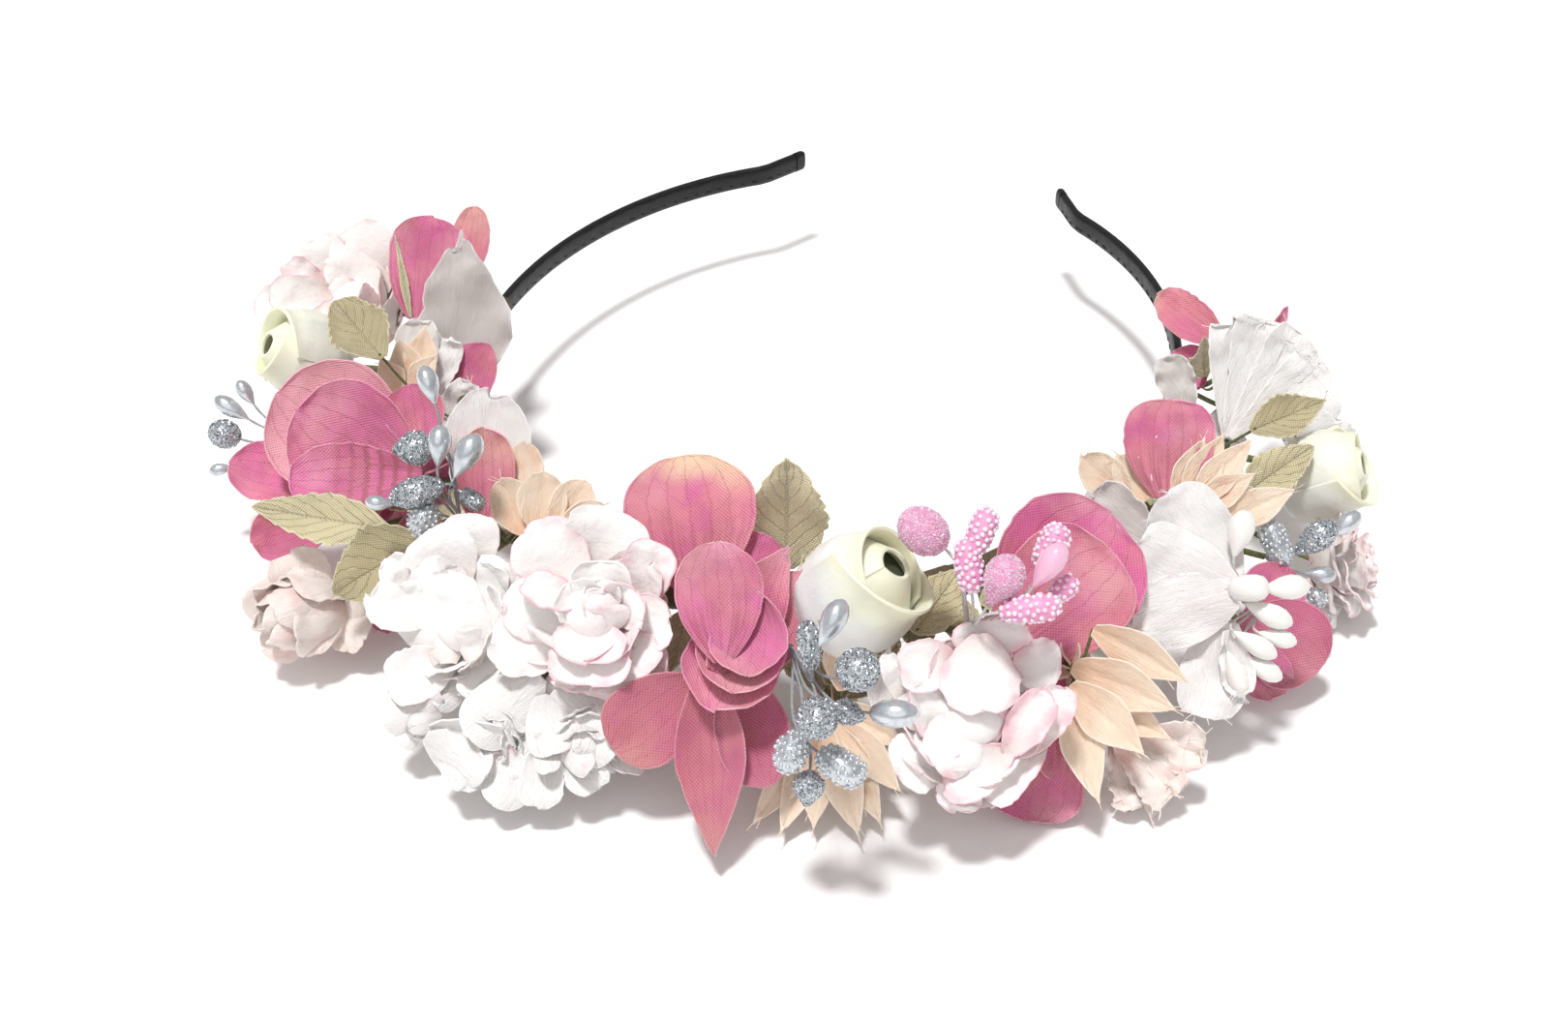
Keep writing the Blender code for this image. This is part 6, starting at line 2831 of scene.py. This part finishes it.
def laid_roses() -> list[PetalFlower]:
    """The roses, with every visible petal laid one by one over a wound core."""
    rose, paper = "rose_paper", Finish.ROSE_PAPER
    # pink soaks a petal pink all over: partly the paper's own pink, partly painted shade in the folds.
    white, edged, pink = (0.5, 0.0, 0.1), (0.5, 0.0, 0.75), (0.5, 0.14, 0.95)
    cream = (0.5, 0.0, 0.2)
    # The dim tones paint shade over the back-left rose, to part it from the white floor.
    dim, dim_edged, dim_pink = (0.95, 0.0, 0.1), (0.95, 0.0, 0.7), (0.95, 0.14, 0.95)
    return [
        PetalFlower("paper_rose_left", rose, Spot(-5, 21, 32), (
            Petal((1.5, -7.0, -4.0), (-0.5, -14.8, -2.0), shell(13.0), pink),
            Petal((3.0, -7.0, -4.0), (11.4, -12.0, -2.0), shell(9.0), edged),
            Petal((0.5, 4.0, -4.5), (4.8, 14.0, -1.5), shell(13.5), white),
            Petal((6.0, -2.0, -3.5), (10.9, 9.0, -0.6), shell(9.0, cup=40), pink),
            Petal((-0.5, 2.0, -1.5), (-9.6, 10.6, 1.5), dome(12.5, cup=-22, open=-25, bend=45), edged),
            Petal((5.0, -4.5, -2.5), (12.7, -2.5, 0.0), shell(9.5), edged),
            Petal((5.0, -5.0, -2.5), (9.2, -11.2, 0.0), shell(8.5), edged),
            Petal((-2.5, -7.0, -2.0), (-15.0, -6.6, 0.2), dome(10.5, cup=-20, open=-25, bend=42), white),
            Petal((0.0, -3.0, -1.0), (-12.7, -0.3, 1.5), dome(10.8, cup=-18, open=-22, bend=45), edged),
            Petal((-1.0, -0.5, 0.5), (-9.8, 2.6, 2.4), shell(6.5, cup=50, open=45), pink, lean=30),
            Petal((0.8, -5.0, -2.0), (0.6, -13.2, 1.4), shell(14.0, cup=42, open=38), edged),
            Petal((0.8, -3.5, -0.8), (0.3, -9.4, 2.8), shell(12.6, cup=48, open=44), edged),
            Petal((2.3, -2.6, -2.5), (2.3, 6.4, 1.0), shell(11.0, cup=55, open=48, bend=15), white),
            Petal((1.2, -3.0, -2.0), (-3.0, 2.8, 2.4), shell(9.0, cup=55, open=48), white),
            Petal((3.2, -3.0, -2.0), (7.6, 1.8, 2.2), shell(9.0, cup=55, open=48), edged),
            Petal((2.3, -1.5, -1.5), (2.6, 3.6, 1.6), shell(7.0, cup=60, open=55), white),
            Petal((2.0, -2.5, 0.0), (0.2, 1.6, 2.6), shell(5.0, cup=50, open=50), white, lean=20),
            Petal((2.3, -5.6, 0.4), (2.4, -0.6, 3.6), dome(10.0, cup=-50, open=-50, bend=35), edged),
        ), paper, 53.0, 13.0, 10, 55, behind(0.6)),
        PetalFlower("paper_rose_right", rose, Spot(30, 35, 24), (
            Petal((-1.5, -8.0, -3.0), (-3.0, -15.2, -2.0), shell(7.0), edged),
            Petal((10.5, -3.5, -3.0), (0.4, -13.0, -0.5), shell(8.0, bend=60), edged),
            Petal((-5.0, -5.0, -2.5), (-11.8, -9.6, -0.8), dome(10.0, cup=-20, open=-25, bend=45), white),
            Petal((2.3, 8.0, -2.0), (2.0, 13.8, -1.0), shell(12.0), pink),
            Petal((-3.0, 8.0, -1.5), (-11.8, 6.4, 0.8), shell(8.0, bend=45), edged),
            Petal((-4.0, -3.0, -1.0), (-9.6, 4.0, 0.8), dome(9.6, cup=-25, open=-25), white),
            Petal((5.6, 7.5, -0.5), (12.4, 6.4, 1.4), dome(8.8, cup=-30, open=-32), edged),
            Petal((7.5, -6.5, -2.0), (13.4, 3.9, 0.4), shell(6.4, cup=42), edged),
            Petal((4.6, -6.4, 0.0), (10.0, 3.2, 2.2), shell(6.6, cup=42), pink),
            Petal((5.2, -5.6, 0.0), (-4.7, -11.6, 1.4), shell(7.6, cup=40, bend=45), pink),
            Petal((3.4, 1.4, 2.0), (-6.4, -7.8, 3.4), dome(10.8), edged),
            Petal((0.3, 11.8, 1.2), (0.7, 0.8, 5.2), dome(12.6), edged),
            Petal((-10.6, 1.0, -3.0), (-13.4, 8.6, -1.5), shell(3.6), white),
        ), paper, 57.0, 13.0, 0, 50, behind(0.6)),
        PetalFlower("white_rose_left", rose, Spot(-18, 27, 24), (
            Petal((2.2, 7.0, -4.0), (0.9, 16.0, -3.0), shell(10.0), cream),
            Petal((0.5, 4.0, -2.0), (-4.8, 13.4, -1.0), shell(11.6), white),
            Petal((-6.5, 4.0, -2.0), (-11.6, 9.0, -1.0), shell(6.0), white),
            Petal((-5.0, -1.0, -1.0), (-14.2, 3.4, 0.0), shell(7.5), white),
            Petal((1.2, -1.0, -2.0), (7.6, 8.6, -0.4), dome(10.5, cup=-18, open=-20, bend=42), white),
            Petal((-0.4, -7.0, -1.5), (-11.4, -11.0, 0.0), shell(9.0), white),
            Petal((3.0, -6.0, -1.5), (5.4, -12.5, 0.2), shell(9.0), white),
            Petal((-3.0, -7.4, 0.0), (-8.4, 5.4, 2.0), dome(9.5), white),
            Petal((-1.5, -7.4, 0.6), (-3.6, 8.8, 2.4), dome(11.0), white),
            Petal((3.4, -7.4, 1.6), (-1.0, 6.8, 3.2), dome(8.0, bend=50), white, lean=-15),
            Petal((2.9, -7.6, 2.4), (1.8, -1.6, 4.6), dome(5.4, cup=-60, open=-60, bend=90), white),
        ), paper, 55.0, 12.5, -10, 50, behind(0.03)),
        PetalFlower("paper_rose_back_left", rose, Spot(-80, 28, 25), (
            Petal((-3.0, 4.0, -4.0), (-7.0, 12.6, -3.0), shell(9.5), dim),
            Petal((7.0, 1.0, -3.0), (0.4, 14.6, -3.0), shell(13.0), (0.9, 0.1, 0.1)),
            Petal((11.0, 0.0, -1.0), (11.2, 9.4, -0.6), shell(3.6), dim),
            Petal((-4.5, 1.5, -2.0), (-12.6, 6.8, -1.0), shell(6.4), dim_pink),
            Petal((-6.0, -2.4, -2.0), (-18.0, -1.8, -1.0), shell(9.6), dim_edged),
            Petal((-2.0, 0.6, -1.0), (-15.0, 0.4, 1.0), shell(8.4, bend=45), dim_edged),
            Petal((8.4, 2.2, -0.6), (-4.2, 6.6, 1.4), dome(9.4, cup=-15, open=-18, bend=40), dim),
            Petal((2.0, -1.0, -0.5), (-2.4, 3.8, 1.8), shell(5.4, cup=50), dim_edged),
            Petal((-0.6, -0.6, 0.0), (-6.8, -5.8, 1.2), shell(5.0), dim_pink),
            Petal((3.0, -1.0, 0.0), (5.4, -6.0, 0.4), shell(6.0), dim_edged),
        ), paper, 51.0, 12.5, 0, 45, behind(0.6)),
    ]


def laid_blossoms() -> list[PetalFlower]:
    """The cup blossoms at the front and the blush bud, petal by petal."""
    cup, cloth = "white_cloth", Finish.WHITE_CLOTH
    plain, faint, inner = (0.5, 0.0, 0.0), (0.5, 0.0, 0.2), (0.5, 0.1, 0.7)
    smooth = {"ruffle": 0.1, "nick": 0.01, "roll": -8}
    return [
        PetalFlower("blossom_front_far", cup, Spot(-17.5, 39.5, 9.5), (
            Petal((7.6, 7.0, -1.5), (3.6, 3.6, 0.0), dome(5.0, **smooth), plain),
            Petal((4.4, 5.2, 0.0), (-4.4, 0.6, 1.2), dome(7.4, bend=52, **smooth), faint),
            Petal((4.0, 3.0, -1.0), (-2.0, -2.6, 0.6), dome(5.8, **smooth), plain),
        ), cloth, 69.0, 5.5, -20, 10),
        PetalFlower("blossom_front_left", cup, Spot(-11, 37, 12), (
            Petal((-6.6, 1.6, -1.0), (-0.6, -7.2, 1.0), shell(7.5, cup=45), faint),
            Petal((-8.2, 1.6, 0.0), (4.2, 0.6, 0.8), shell(7.0, cup=50, open=45), plain, lean=25),
            Petal((-8.6, 0.4, 1.4), (1.0, -5.4, 3.0), dome(8.6, bend=52, **smooth), plain),
            Petal((9.2, 9.8, 0.6), (-1.6, 0.6, 3.8), dome(11.2, bend=52, **smooth), plain),
            Petal((3.0, -1.0, 0.0), (4.6, -7.4, 0.0), shell(6.4), inner),
        ), cloth, 67.0, 8.0, -10, 10, behind(0.1, 0.66)),
        PetalFlower("blossom_front_right", cup, Spot(-3, 32, 10.8), (
            Petal((1.2, 5.8, -2.0), (9.3, -2.4, -0.4), shell(7.4, outline=OVAL), plain),
            Petal((-1.8, 1.4, -1.5), (2.4, -5.8, 0.2), shell(7.0, cup=45), faint),
            Petal((-5.5, 1.8, -1.5), (-6.8, -8.2, 0.6), shell(7.4, cup=45), plain),
            Petal((-6.0, 2.6, -0.5), (-13.8, -7.6, 1.6), dome(9.2, bend=60, **smooth), plain),
            Petal(
                (-6.8, 3.4, 0.8), (-4.8, -2.4, 3.6),
                dome(4.6, cup=-50, open=-50, bend=60, **smooth), faint,
            ),
            Petal(
                (-3.4, 1.6, 1.6), (1.4, -2.2, 3.8),
                dome(4.8, cup=-50, open=-50, bend=60, **smooth), inner,
            ),
            Petal((-6.6, 9.0, -0.5), (-4.2, 0.4, 3.2), dome(8.6, bend=55, **smooth), plain),
            Petal((-4.8, 9.4, -0.8), (5.6, 0.8, 3.4), dome(12.4, bend=55, **smooth), plain),
        ), cloth, 65.0, 8.5, 15, 0, behind(0.2, 0.72)),
        PetalFlower("peony_bud_left", "blush_cloth", Spot(-36, 38, 11), (
            Petal((2.5, -2.0, -2.5), (-2.4, 9.8, -1.0), shell(11.0), faint),
            Petal((5.4, -2.0, -0.5), (10.6, -5.0, 1.0), dome(7.6), faint),
            Petal((6.0, -7.0, -0.5), (9.2, 5.2, 1.2), dome(9.0), plain),
            Petal((1.8, -5.0, -0.5), (-9.0, 3.2, 1.6), dome(10.0), faint),
            Petal((1.6, -2.6, 0.4), (-6.4, -6.8, 1.6), dome(8.2), inner),
            Petal((0.2, -7.6, 0.6), (1.2, 7.0, 3.2), dome(10.6), faint),
            Petal((4.4, 4.6, 1.6), (1.2, -7.4, 3.4), dome(7.6), inner, lean=12),
        ), Finish.BLUSH_CLOTH, 61.0, 9.0, 5, 15, closed_bud(0.6)),
    ]


def ring_flowers() -> list[RingFlower]:
    """The rose and the blossoms that are built ring by ring."""
    cup, cloth = "white_cloth", Finish.WHITE_CLOTH
    rose, paper = "rose_paper", Finish.ROSE_PAPER
    return [
        RingFlower("paper_rose_far_right", rose, Spot(77, 38, 9), 9, 10, 10, open_rose(0.5), paper, 59.0),
        RingFlower("blossom_back_left", cup, Spot(-76, 8, 12), 11.5, 0, -30, cup_blossom(0.1), cloth, 63.0),
        RingFlower("blossom_back_right", cup, Spot(97, 27, 14), 8, 20, 20, cup_blossom(0.1), cloth, 71.0),
    ]


def foam_buds() -> list[FoamBud]:
    """The three ivory foam rosebuds."""
    return [
        FoamBud("foam_bud_back_left", Spot(-68, 31, 25), 7.6, (-0.78, 0.22, 0.55), 81.0, 60, 0.6),
        FoamBud("foam_bud_front", Spot(22, 15, 34), 8.6, (0.66, 0.52, 0.55), 83.0, 150),
        FoamBud("foam_bud_right", Spot(83, 30, 20), 7.5, (0.8, 0.25, 0.45), 85.0, 200, 0.45),
    ]


def leaves() -> list[SinglePetal]:
    """The khaki leaves and the loose satin petals."""
    leaf = Cut(
        LEAF, 9.0, bend=20, roll=-15, cup=14, open=8, ruffle=0.5, crease=0.5,
        serration=9, thickness=0.28, rows=44, columns=18,
    )
    tall = replace(SATIN, outline=LEAF, width=18.0, ruffle=1.6, nick=0.07, twist=12)
    short = replace(SATIN, ruffle=1.0, width=7)

    def one(
        node: str, base: Spot, tip: Spot, turn: float, rise: float, seed: float,
        width: float = 9.0, light: float = 0.1, dark: float = 0.1, declared: bool = False,
        **changes: float,
    ) -> SinglePetal:
        """One leaf, with changes to the common cut."""
        cut = replace(leaf, width=width, **changes)
        tone = (light, dark, 0.0)
        finish = Finish.KHAKI_SATIN
        return SinglePetal(node, "khaki_satin", base, tip, cut, turn, rise, finish, tone, seed, declared)

    def satin(
        node: str, base: Spot, tip: Spot, turn: float, seed: float, cut: Cut, declared: bool
    ) -> SinglePetal:
        """One loose satin petal."""
        finish = Finish.SHEER_CLOTH
        return SinglePetal(
            node, "white_cloth", base, tip, cut, turn, 30, finish, PLAIN_TONE, seed, declared
        )

    return [
        one(
            "leaf_back_left", Spot(-58, 14, 34), Spot(-66, 23, 39), 30, 50, 91.0,
            width=13, cup=45, open=30, declared=True, dark=0.5,
        ),
        satin("satin_petal_back_left", Spot(-64.5, 0.5, 19), Spot(-72, 0, 47), 25, 92.0, tall, True),
        one("leaf_left_upper", Spot(-32, 24, 27), Spot(-42, 41, 26), 0, 50, 93.0, width=9.5),
        one(
            "leaf_left_lower", Spot(-29, 20, 26), Spot(-32, 35, 18), 10, 45, 94.0,
            width=15.0, cup=34, twist=20, declared=True, dark=0.6,
        ),
        # light=0.9 paints light on this leaf's face, which faces the camera and gets only grazing lamp
        # light.
        one(
            "leaf_front", Spot(14.5, 1, 28), Spot(14.5, 1, 50), 18, 40, 95.0,
            width=14.5, declared=True, light=0.9, dark=0.0,
        ),
        one("leaf_bud_right", Spot(28, 16, 25), Spot(35, 9, 30), 20, 50, 96.0),
        satin("satin_petal_end_right", Spot(86, 4, 24), Spot(89, -2, 32), 20, 97.0, short, False),
        one(
            "leaf_right_upper", Spot(80, 17, 29), Spot(86.5, 27, 31), 20, 50, 98.0,
            cup=40, open=35, dark=0.45,
        ),
        one("leaf_right_lower", Spot(73, 20, 23), Spot(80, 28, 29), 20, 45, 99.0),
        one("leaf_end_right", Spot(97, 5, 22), Spot(91.5, 4, 35), 20, 30, 100.0, width=6.5),
    ]


def stamen_bunches() -> list[StamenBunch]:
    """The silver, pink and white stamen bunches."""
    pearl, glitter, seed, sugar = DropKind.PEARL, DropKind.GLITTER, DropKind.SEED, DropKind.SUGAR
    oval, rod, tipped = DropForm.OVAL, DropForm.ROD, DropForm.TIPPED
    silver, thread = Finish.SILVER_PEARL, Finish.SILVER_STALK
    return [
        StamenBunch("silver_spray_far_left", "silver_bead", Spot(-54, 30, 22), (
            Drop((-10.6, 9.2, -2.0), (-0.5, 0.8, 0.2), 5.3, 2.8, pearl),
            Drop((-13.5, 6.4, -3.0), (-0.8, 0.5, 0.0), 7.4, 3.4, pearl),
            Drop((-15.0, 1.8, -4.0), (-0.9, 0.3, 0.1), 5.8, 5.2, glitter, oval),
            Drop((-16.0, -4.6, -5.0), (-0.9, -0.2, 0.0), 4.4, 2.4, pearl),
        ), silver, thread),
        StamenBunch("silver_spray_left", "silver_bead", Spot(-28.5, 13, 27), (
            Drop((-3.8, 22.0, 9.0), (-0.3, 0.95, 0.0), 6.6, 3.6, pearl),
            Drop((-1.6, 12.1, 12.0), (0.1, 1.0, 0.1), 6.8, 4.0, pearl),
            Drop((3.1, 10.4, 14.0), (0.5, 0.86, 0.1), 8.0, 4.4, pearl),
            Drop((-6.3, 11.7, 9.0), (-0.85, -0.1, 0.35), 6.8, 5.6, glitter, tipped),
            Drop((-11.6, 2.8, 10.5), (-0.95, 0.1, 0.0), 4.6, 2.6, pearl),
            Drop((-5.4, 4.6, 11.0), (-0.9, -0.25, 0.1), 8.8, 4.8, glitter, oval),
            Drop((-4.6, 0.2, 9.0), (-0.25, -0.95, 0.2), 6.2, 5.0, seed, oval),
            Drop((3.2, 3.4, 9.0), (0.8, -0.55, 0.2), 4.4, 2.8, glitter, rod),
        ), silver, thread),
        StamenBunch("silver_spray_front", "silver_bead", Spot(15, 23, 30), (
            Drop((5.9, 4.8, 19.0), (0.46, 0.88, 0.0), 7.6, 3.8, pearl),
            Drop((2.7, 1.4, 16.0), (-0.12, 0.97, 0.1), 6.9, 3.2, glitter, rod),
            Drop((9.4, -1.6, 23.0), (0.5, 0.3, 0.8), 6.2, 6.2, glitter, oval),
            Drop((14.7, -8.0, 20.0), (0.97, 0.0, 0.2), 7.2, 4.2, pearl, oval),
            Drop((3.8, -8.4, 22.5), (0.0, -0.5, 0.9), 6.2, 5.8, glitter, oval),
            Drop((8.3, -8.1, 18.0), (0.8, -0.3, 0.3), 5.2, 3.6, glitter, tipped),
            Drop((0.1, -14.0, 16.0), (-0.3, -0.9, 0.2), 6.2, 4.8, seed, oval),
            Drop((7.2, -15.8, 17.5), (0.85, -0.5, 0.2), 7.4, 4.6, seed, rod),
            Drop((2.6, -19.4, 14.0), (-0.1, -1.0, 0.1), 5.2, 4.6, glitter, tipped),
        ), silver, thread),
        StamenBunch("pink_spray_right", "pink_bead", Spot(32, 22, 29), (
            Drop((-7.4, 15.2, 8.5), (-0.75, 0.6, 0.2), 8.4, 7.0, sugar, oval),
            Drop((0.6, 15.3, 15.0), (0.35, 0.93, 0.1), 7.0, 3.8, seed, rod),
            Drop((-1.2, 10.2, 15.0), (-0.12, 0.98, 0.1), 8.0, 4.0, seed, rod),
            Drop((3.5, 8.1, 16.5), (0.45, 0.85, 0.3), 8.2, 6.0, sugar),
            Drop((11.0, 12.9, 14.0), (0.4, 0.9, 0.0), 7.2, 4.2, seed, rod),
            Drop((10.2, 10.3, 17.5), (0.55, 0.8, 0.2), 8.0, 4.0, DropKind.SMOOTH),
            Drop((12.8, 6.8, 13.5), (0.7, 0.6, 0.1), 4.6, 3.2, seed, rod),
            Drop((7.6, 4.0, 17.0), (0.97, 0.12, 0.2), 8.8, 3.9, seed, rod),
        ), Finish.PINK_PEARL, Finish.WHITE_STALK),
        StamenBunch("white_spray_right", "white_bead", Spot(60, 36, 22), (
            Drop((-4.7, 11.3, 6.0), (0.25, 0.97, 0.0), 7.8, 4.4, pearl),
            Drop((-3.7, 2.6, 7.6), (0.95, 0.05, 0.3), 6.4, 4.3, pearl, rod),
            Drop((2.4, 2.7, 7.0), (1.0, 0.06, 0.0), 7.6, 4.1, pearl),
            Drop((-0.1, -1.6, 6.0), (0.9, -0.4, 0.0), 8.2, 3.8, pearl),
            Drop((1.5, -5.4, 5.0), (0.95, -0.25, 0.0), 6.4, 3.0, pearl),
            Drop((-2.3, -6.4, 6.0), (0.85, -0.5, 0.0), 8.0, 3.4, pearl),
            Drop((-0.7, -10.3, 4.6), (0.85, -0.5, 0.0), 7.0, 3.3, pearl),
            Drop((-5.2, -11.0, 5.0), (0.35, -0.93, 0.0), 7.4, 3.4, pearl),
        ), Finish.WHITE_PEARL, Finish.WHITE_STALK),
        StamenBunch("silver_spray_right", "silver_bead", Spot(71, 27, 15), (
            Drop((-0.3, 2.6, 9.0), (-0.42, 0.9, 0.1), 8.0, 4.2, seed, rod),
            Drop((6.4, 3.2, 8.5), (0.8, 0.6, 0.1), 8.4, 4.8, glitter),
            Drop((12.4, 5.6, 5.0), (0.8, 0.6, 0.0), 6.6, 3.5, pearl),
            Drop((7.9, -2.9, 6.0), (1.0, -0.1, 0.0), 5.6, 3.0, pearl),
            Drop((8.0, -6.8, 4.0), (0.7, -0.7, 0.0), 3.6, 2.8, seed, oval),
            Drop((9.6, -10.6, 2.4), (0.6, -0.8, 0.0), 3.4, 2.4, pearl),
        ), silver, thread),
    ]


def stems() -> list[WireStem]:
    """The wire stems of the flowers that stand away from the band."""
    return [
        WireStem("stem_paper_rose_back_left", Spot(-80, 28, 25)),
        WireStem("stem_foam_bud_back_left", Spot(-68, 32, 24)),
        WireStem("stem_peony_bud_left", Spot(-36, 38, 11)),
        WireStem("stem_paper_rose_right", Spot(30, 35, 24)),
        WireStem("stem_foam_bud_right", Spot(83, 30, 20)),
    ]


# --------------------------------------------------------------------------------------
# Studio
# --------------------------------------------------------------------------------------


@dataclass
class Studio:
    """A plain pale floor, a soft lamp overhead, soft light all round and the camera."""

    aim: Point = (10.5, -59.5, 25.0)
    distance: float = 345.0
    lens: float = 46.76
    floor_half: float = 9.0
    drop: float = 0.0004
    lamp: float = 2.7
    fill: float = 0.6
    lamp_angle: float = 9.0
    sky: float = 0.34

    def floor(self) -> None:
        """Lays the floor just under the crown."""
        mesh = bpy.data.meshes.new("studio_floor")
        half = self.floor_half
        flat = [(-half, -half), (half, -half), (half, half), (-half, half)]
        corners = [(across, along, -self.drop) for across, along in flat]
        mesh.from_pydata(corners, [], [(0, 1, 2, 3)])
        mesh.materials.append(Finish.FLOOR.material())
        set_out("studio_floor", mesh)

    def lights(self) -> None:
        """Hangs the lamp and sets the light all round."""
        lamp = bpy.data.lights.new("overhead_lamp", "SUN")
        lamp.energy = self.lamp
        lamp.angle = math.radians(self.lamp_angle)
        holder = set_out("overhead_lamp", lamp)
        front = compass(SHOW_TURN, 0.0)
        left = compass(SHOW_TURN - 90.0, 0.0)
        towards = UP + 0.16 * front + 0.16 * left
        holder.rotation_euler = Vector(towards).to_track_quat("Z", "Y").to_euler()
        fill = bpy.data.lights.new("front_fill", "SUN")
        fill.energy = self.fill
        fill.angle = math.radians(60.0)
        side = set_out("front_fill", fill)
        away = Vector(compass(SHOW_TURN - 12.0, 44.0))
        side.rotation_euler = away.to_track_quat("Z", "Y").to_euler()
        world = bpy.data.worlds.new("soft_surround")
        world.use_nodes = True
        back = world.node_tree.nodes["Background"]
        back.inputs["Color"].default_value = (1.0, 0.93, 0.935, 1.0)
        back.inputs["Strength"].default_value = self.sky
        bpy.context.scene.world = world

    def camera(self) -> None:
        """Sets the camera on the crown's show side."""
        data = bpy.data.cameras.new("show_camera")
        data.lens = self.lens
        data.sensor_width = 36.0
        data.clip_start = 0.01
        camera = set_out("show_camera", data)
        aim = np.array(self.aim) + BAND.shift()
        out = compass(SHOW_TURN, SHOW_RISE)
        camera.location = Vector((aim + out * self.distance) * MM)
        camera.rotation_euler = Vector(-out).to_track_quat("-Z", "Y").to_euler()
        bpy.context.scene.camera = camera

    def build(self) -> None:
        """Sets the studio."""
        self.floor()
        self.lights()
        self.camera()
        bpy.context.scene.view_settings.view_transform = "Standard"


def main() -> None:
    """Builds the crown, from the band outward."""
    logging.basicConfig(level=logging.INFO, format="%(message)s")
    Studio().build()
    RibbonBand().build()
    StemBinding().build()
    FillerLeaves().build()
    groups = (
        stems(),
        laid_roses(),
        laid_blossoms(),
        ring_flowers(),
        foam_buds(),
        cloth_blooms(),
        pointed_flowers(),
        satin_blossoms(),
        leaves(),
        stamen_bunches(),
    )
    for group in groups:
        for item in group:
            item.build()


if __name__ == "__main__":
    main()
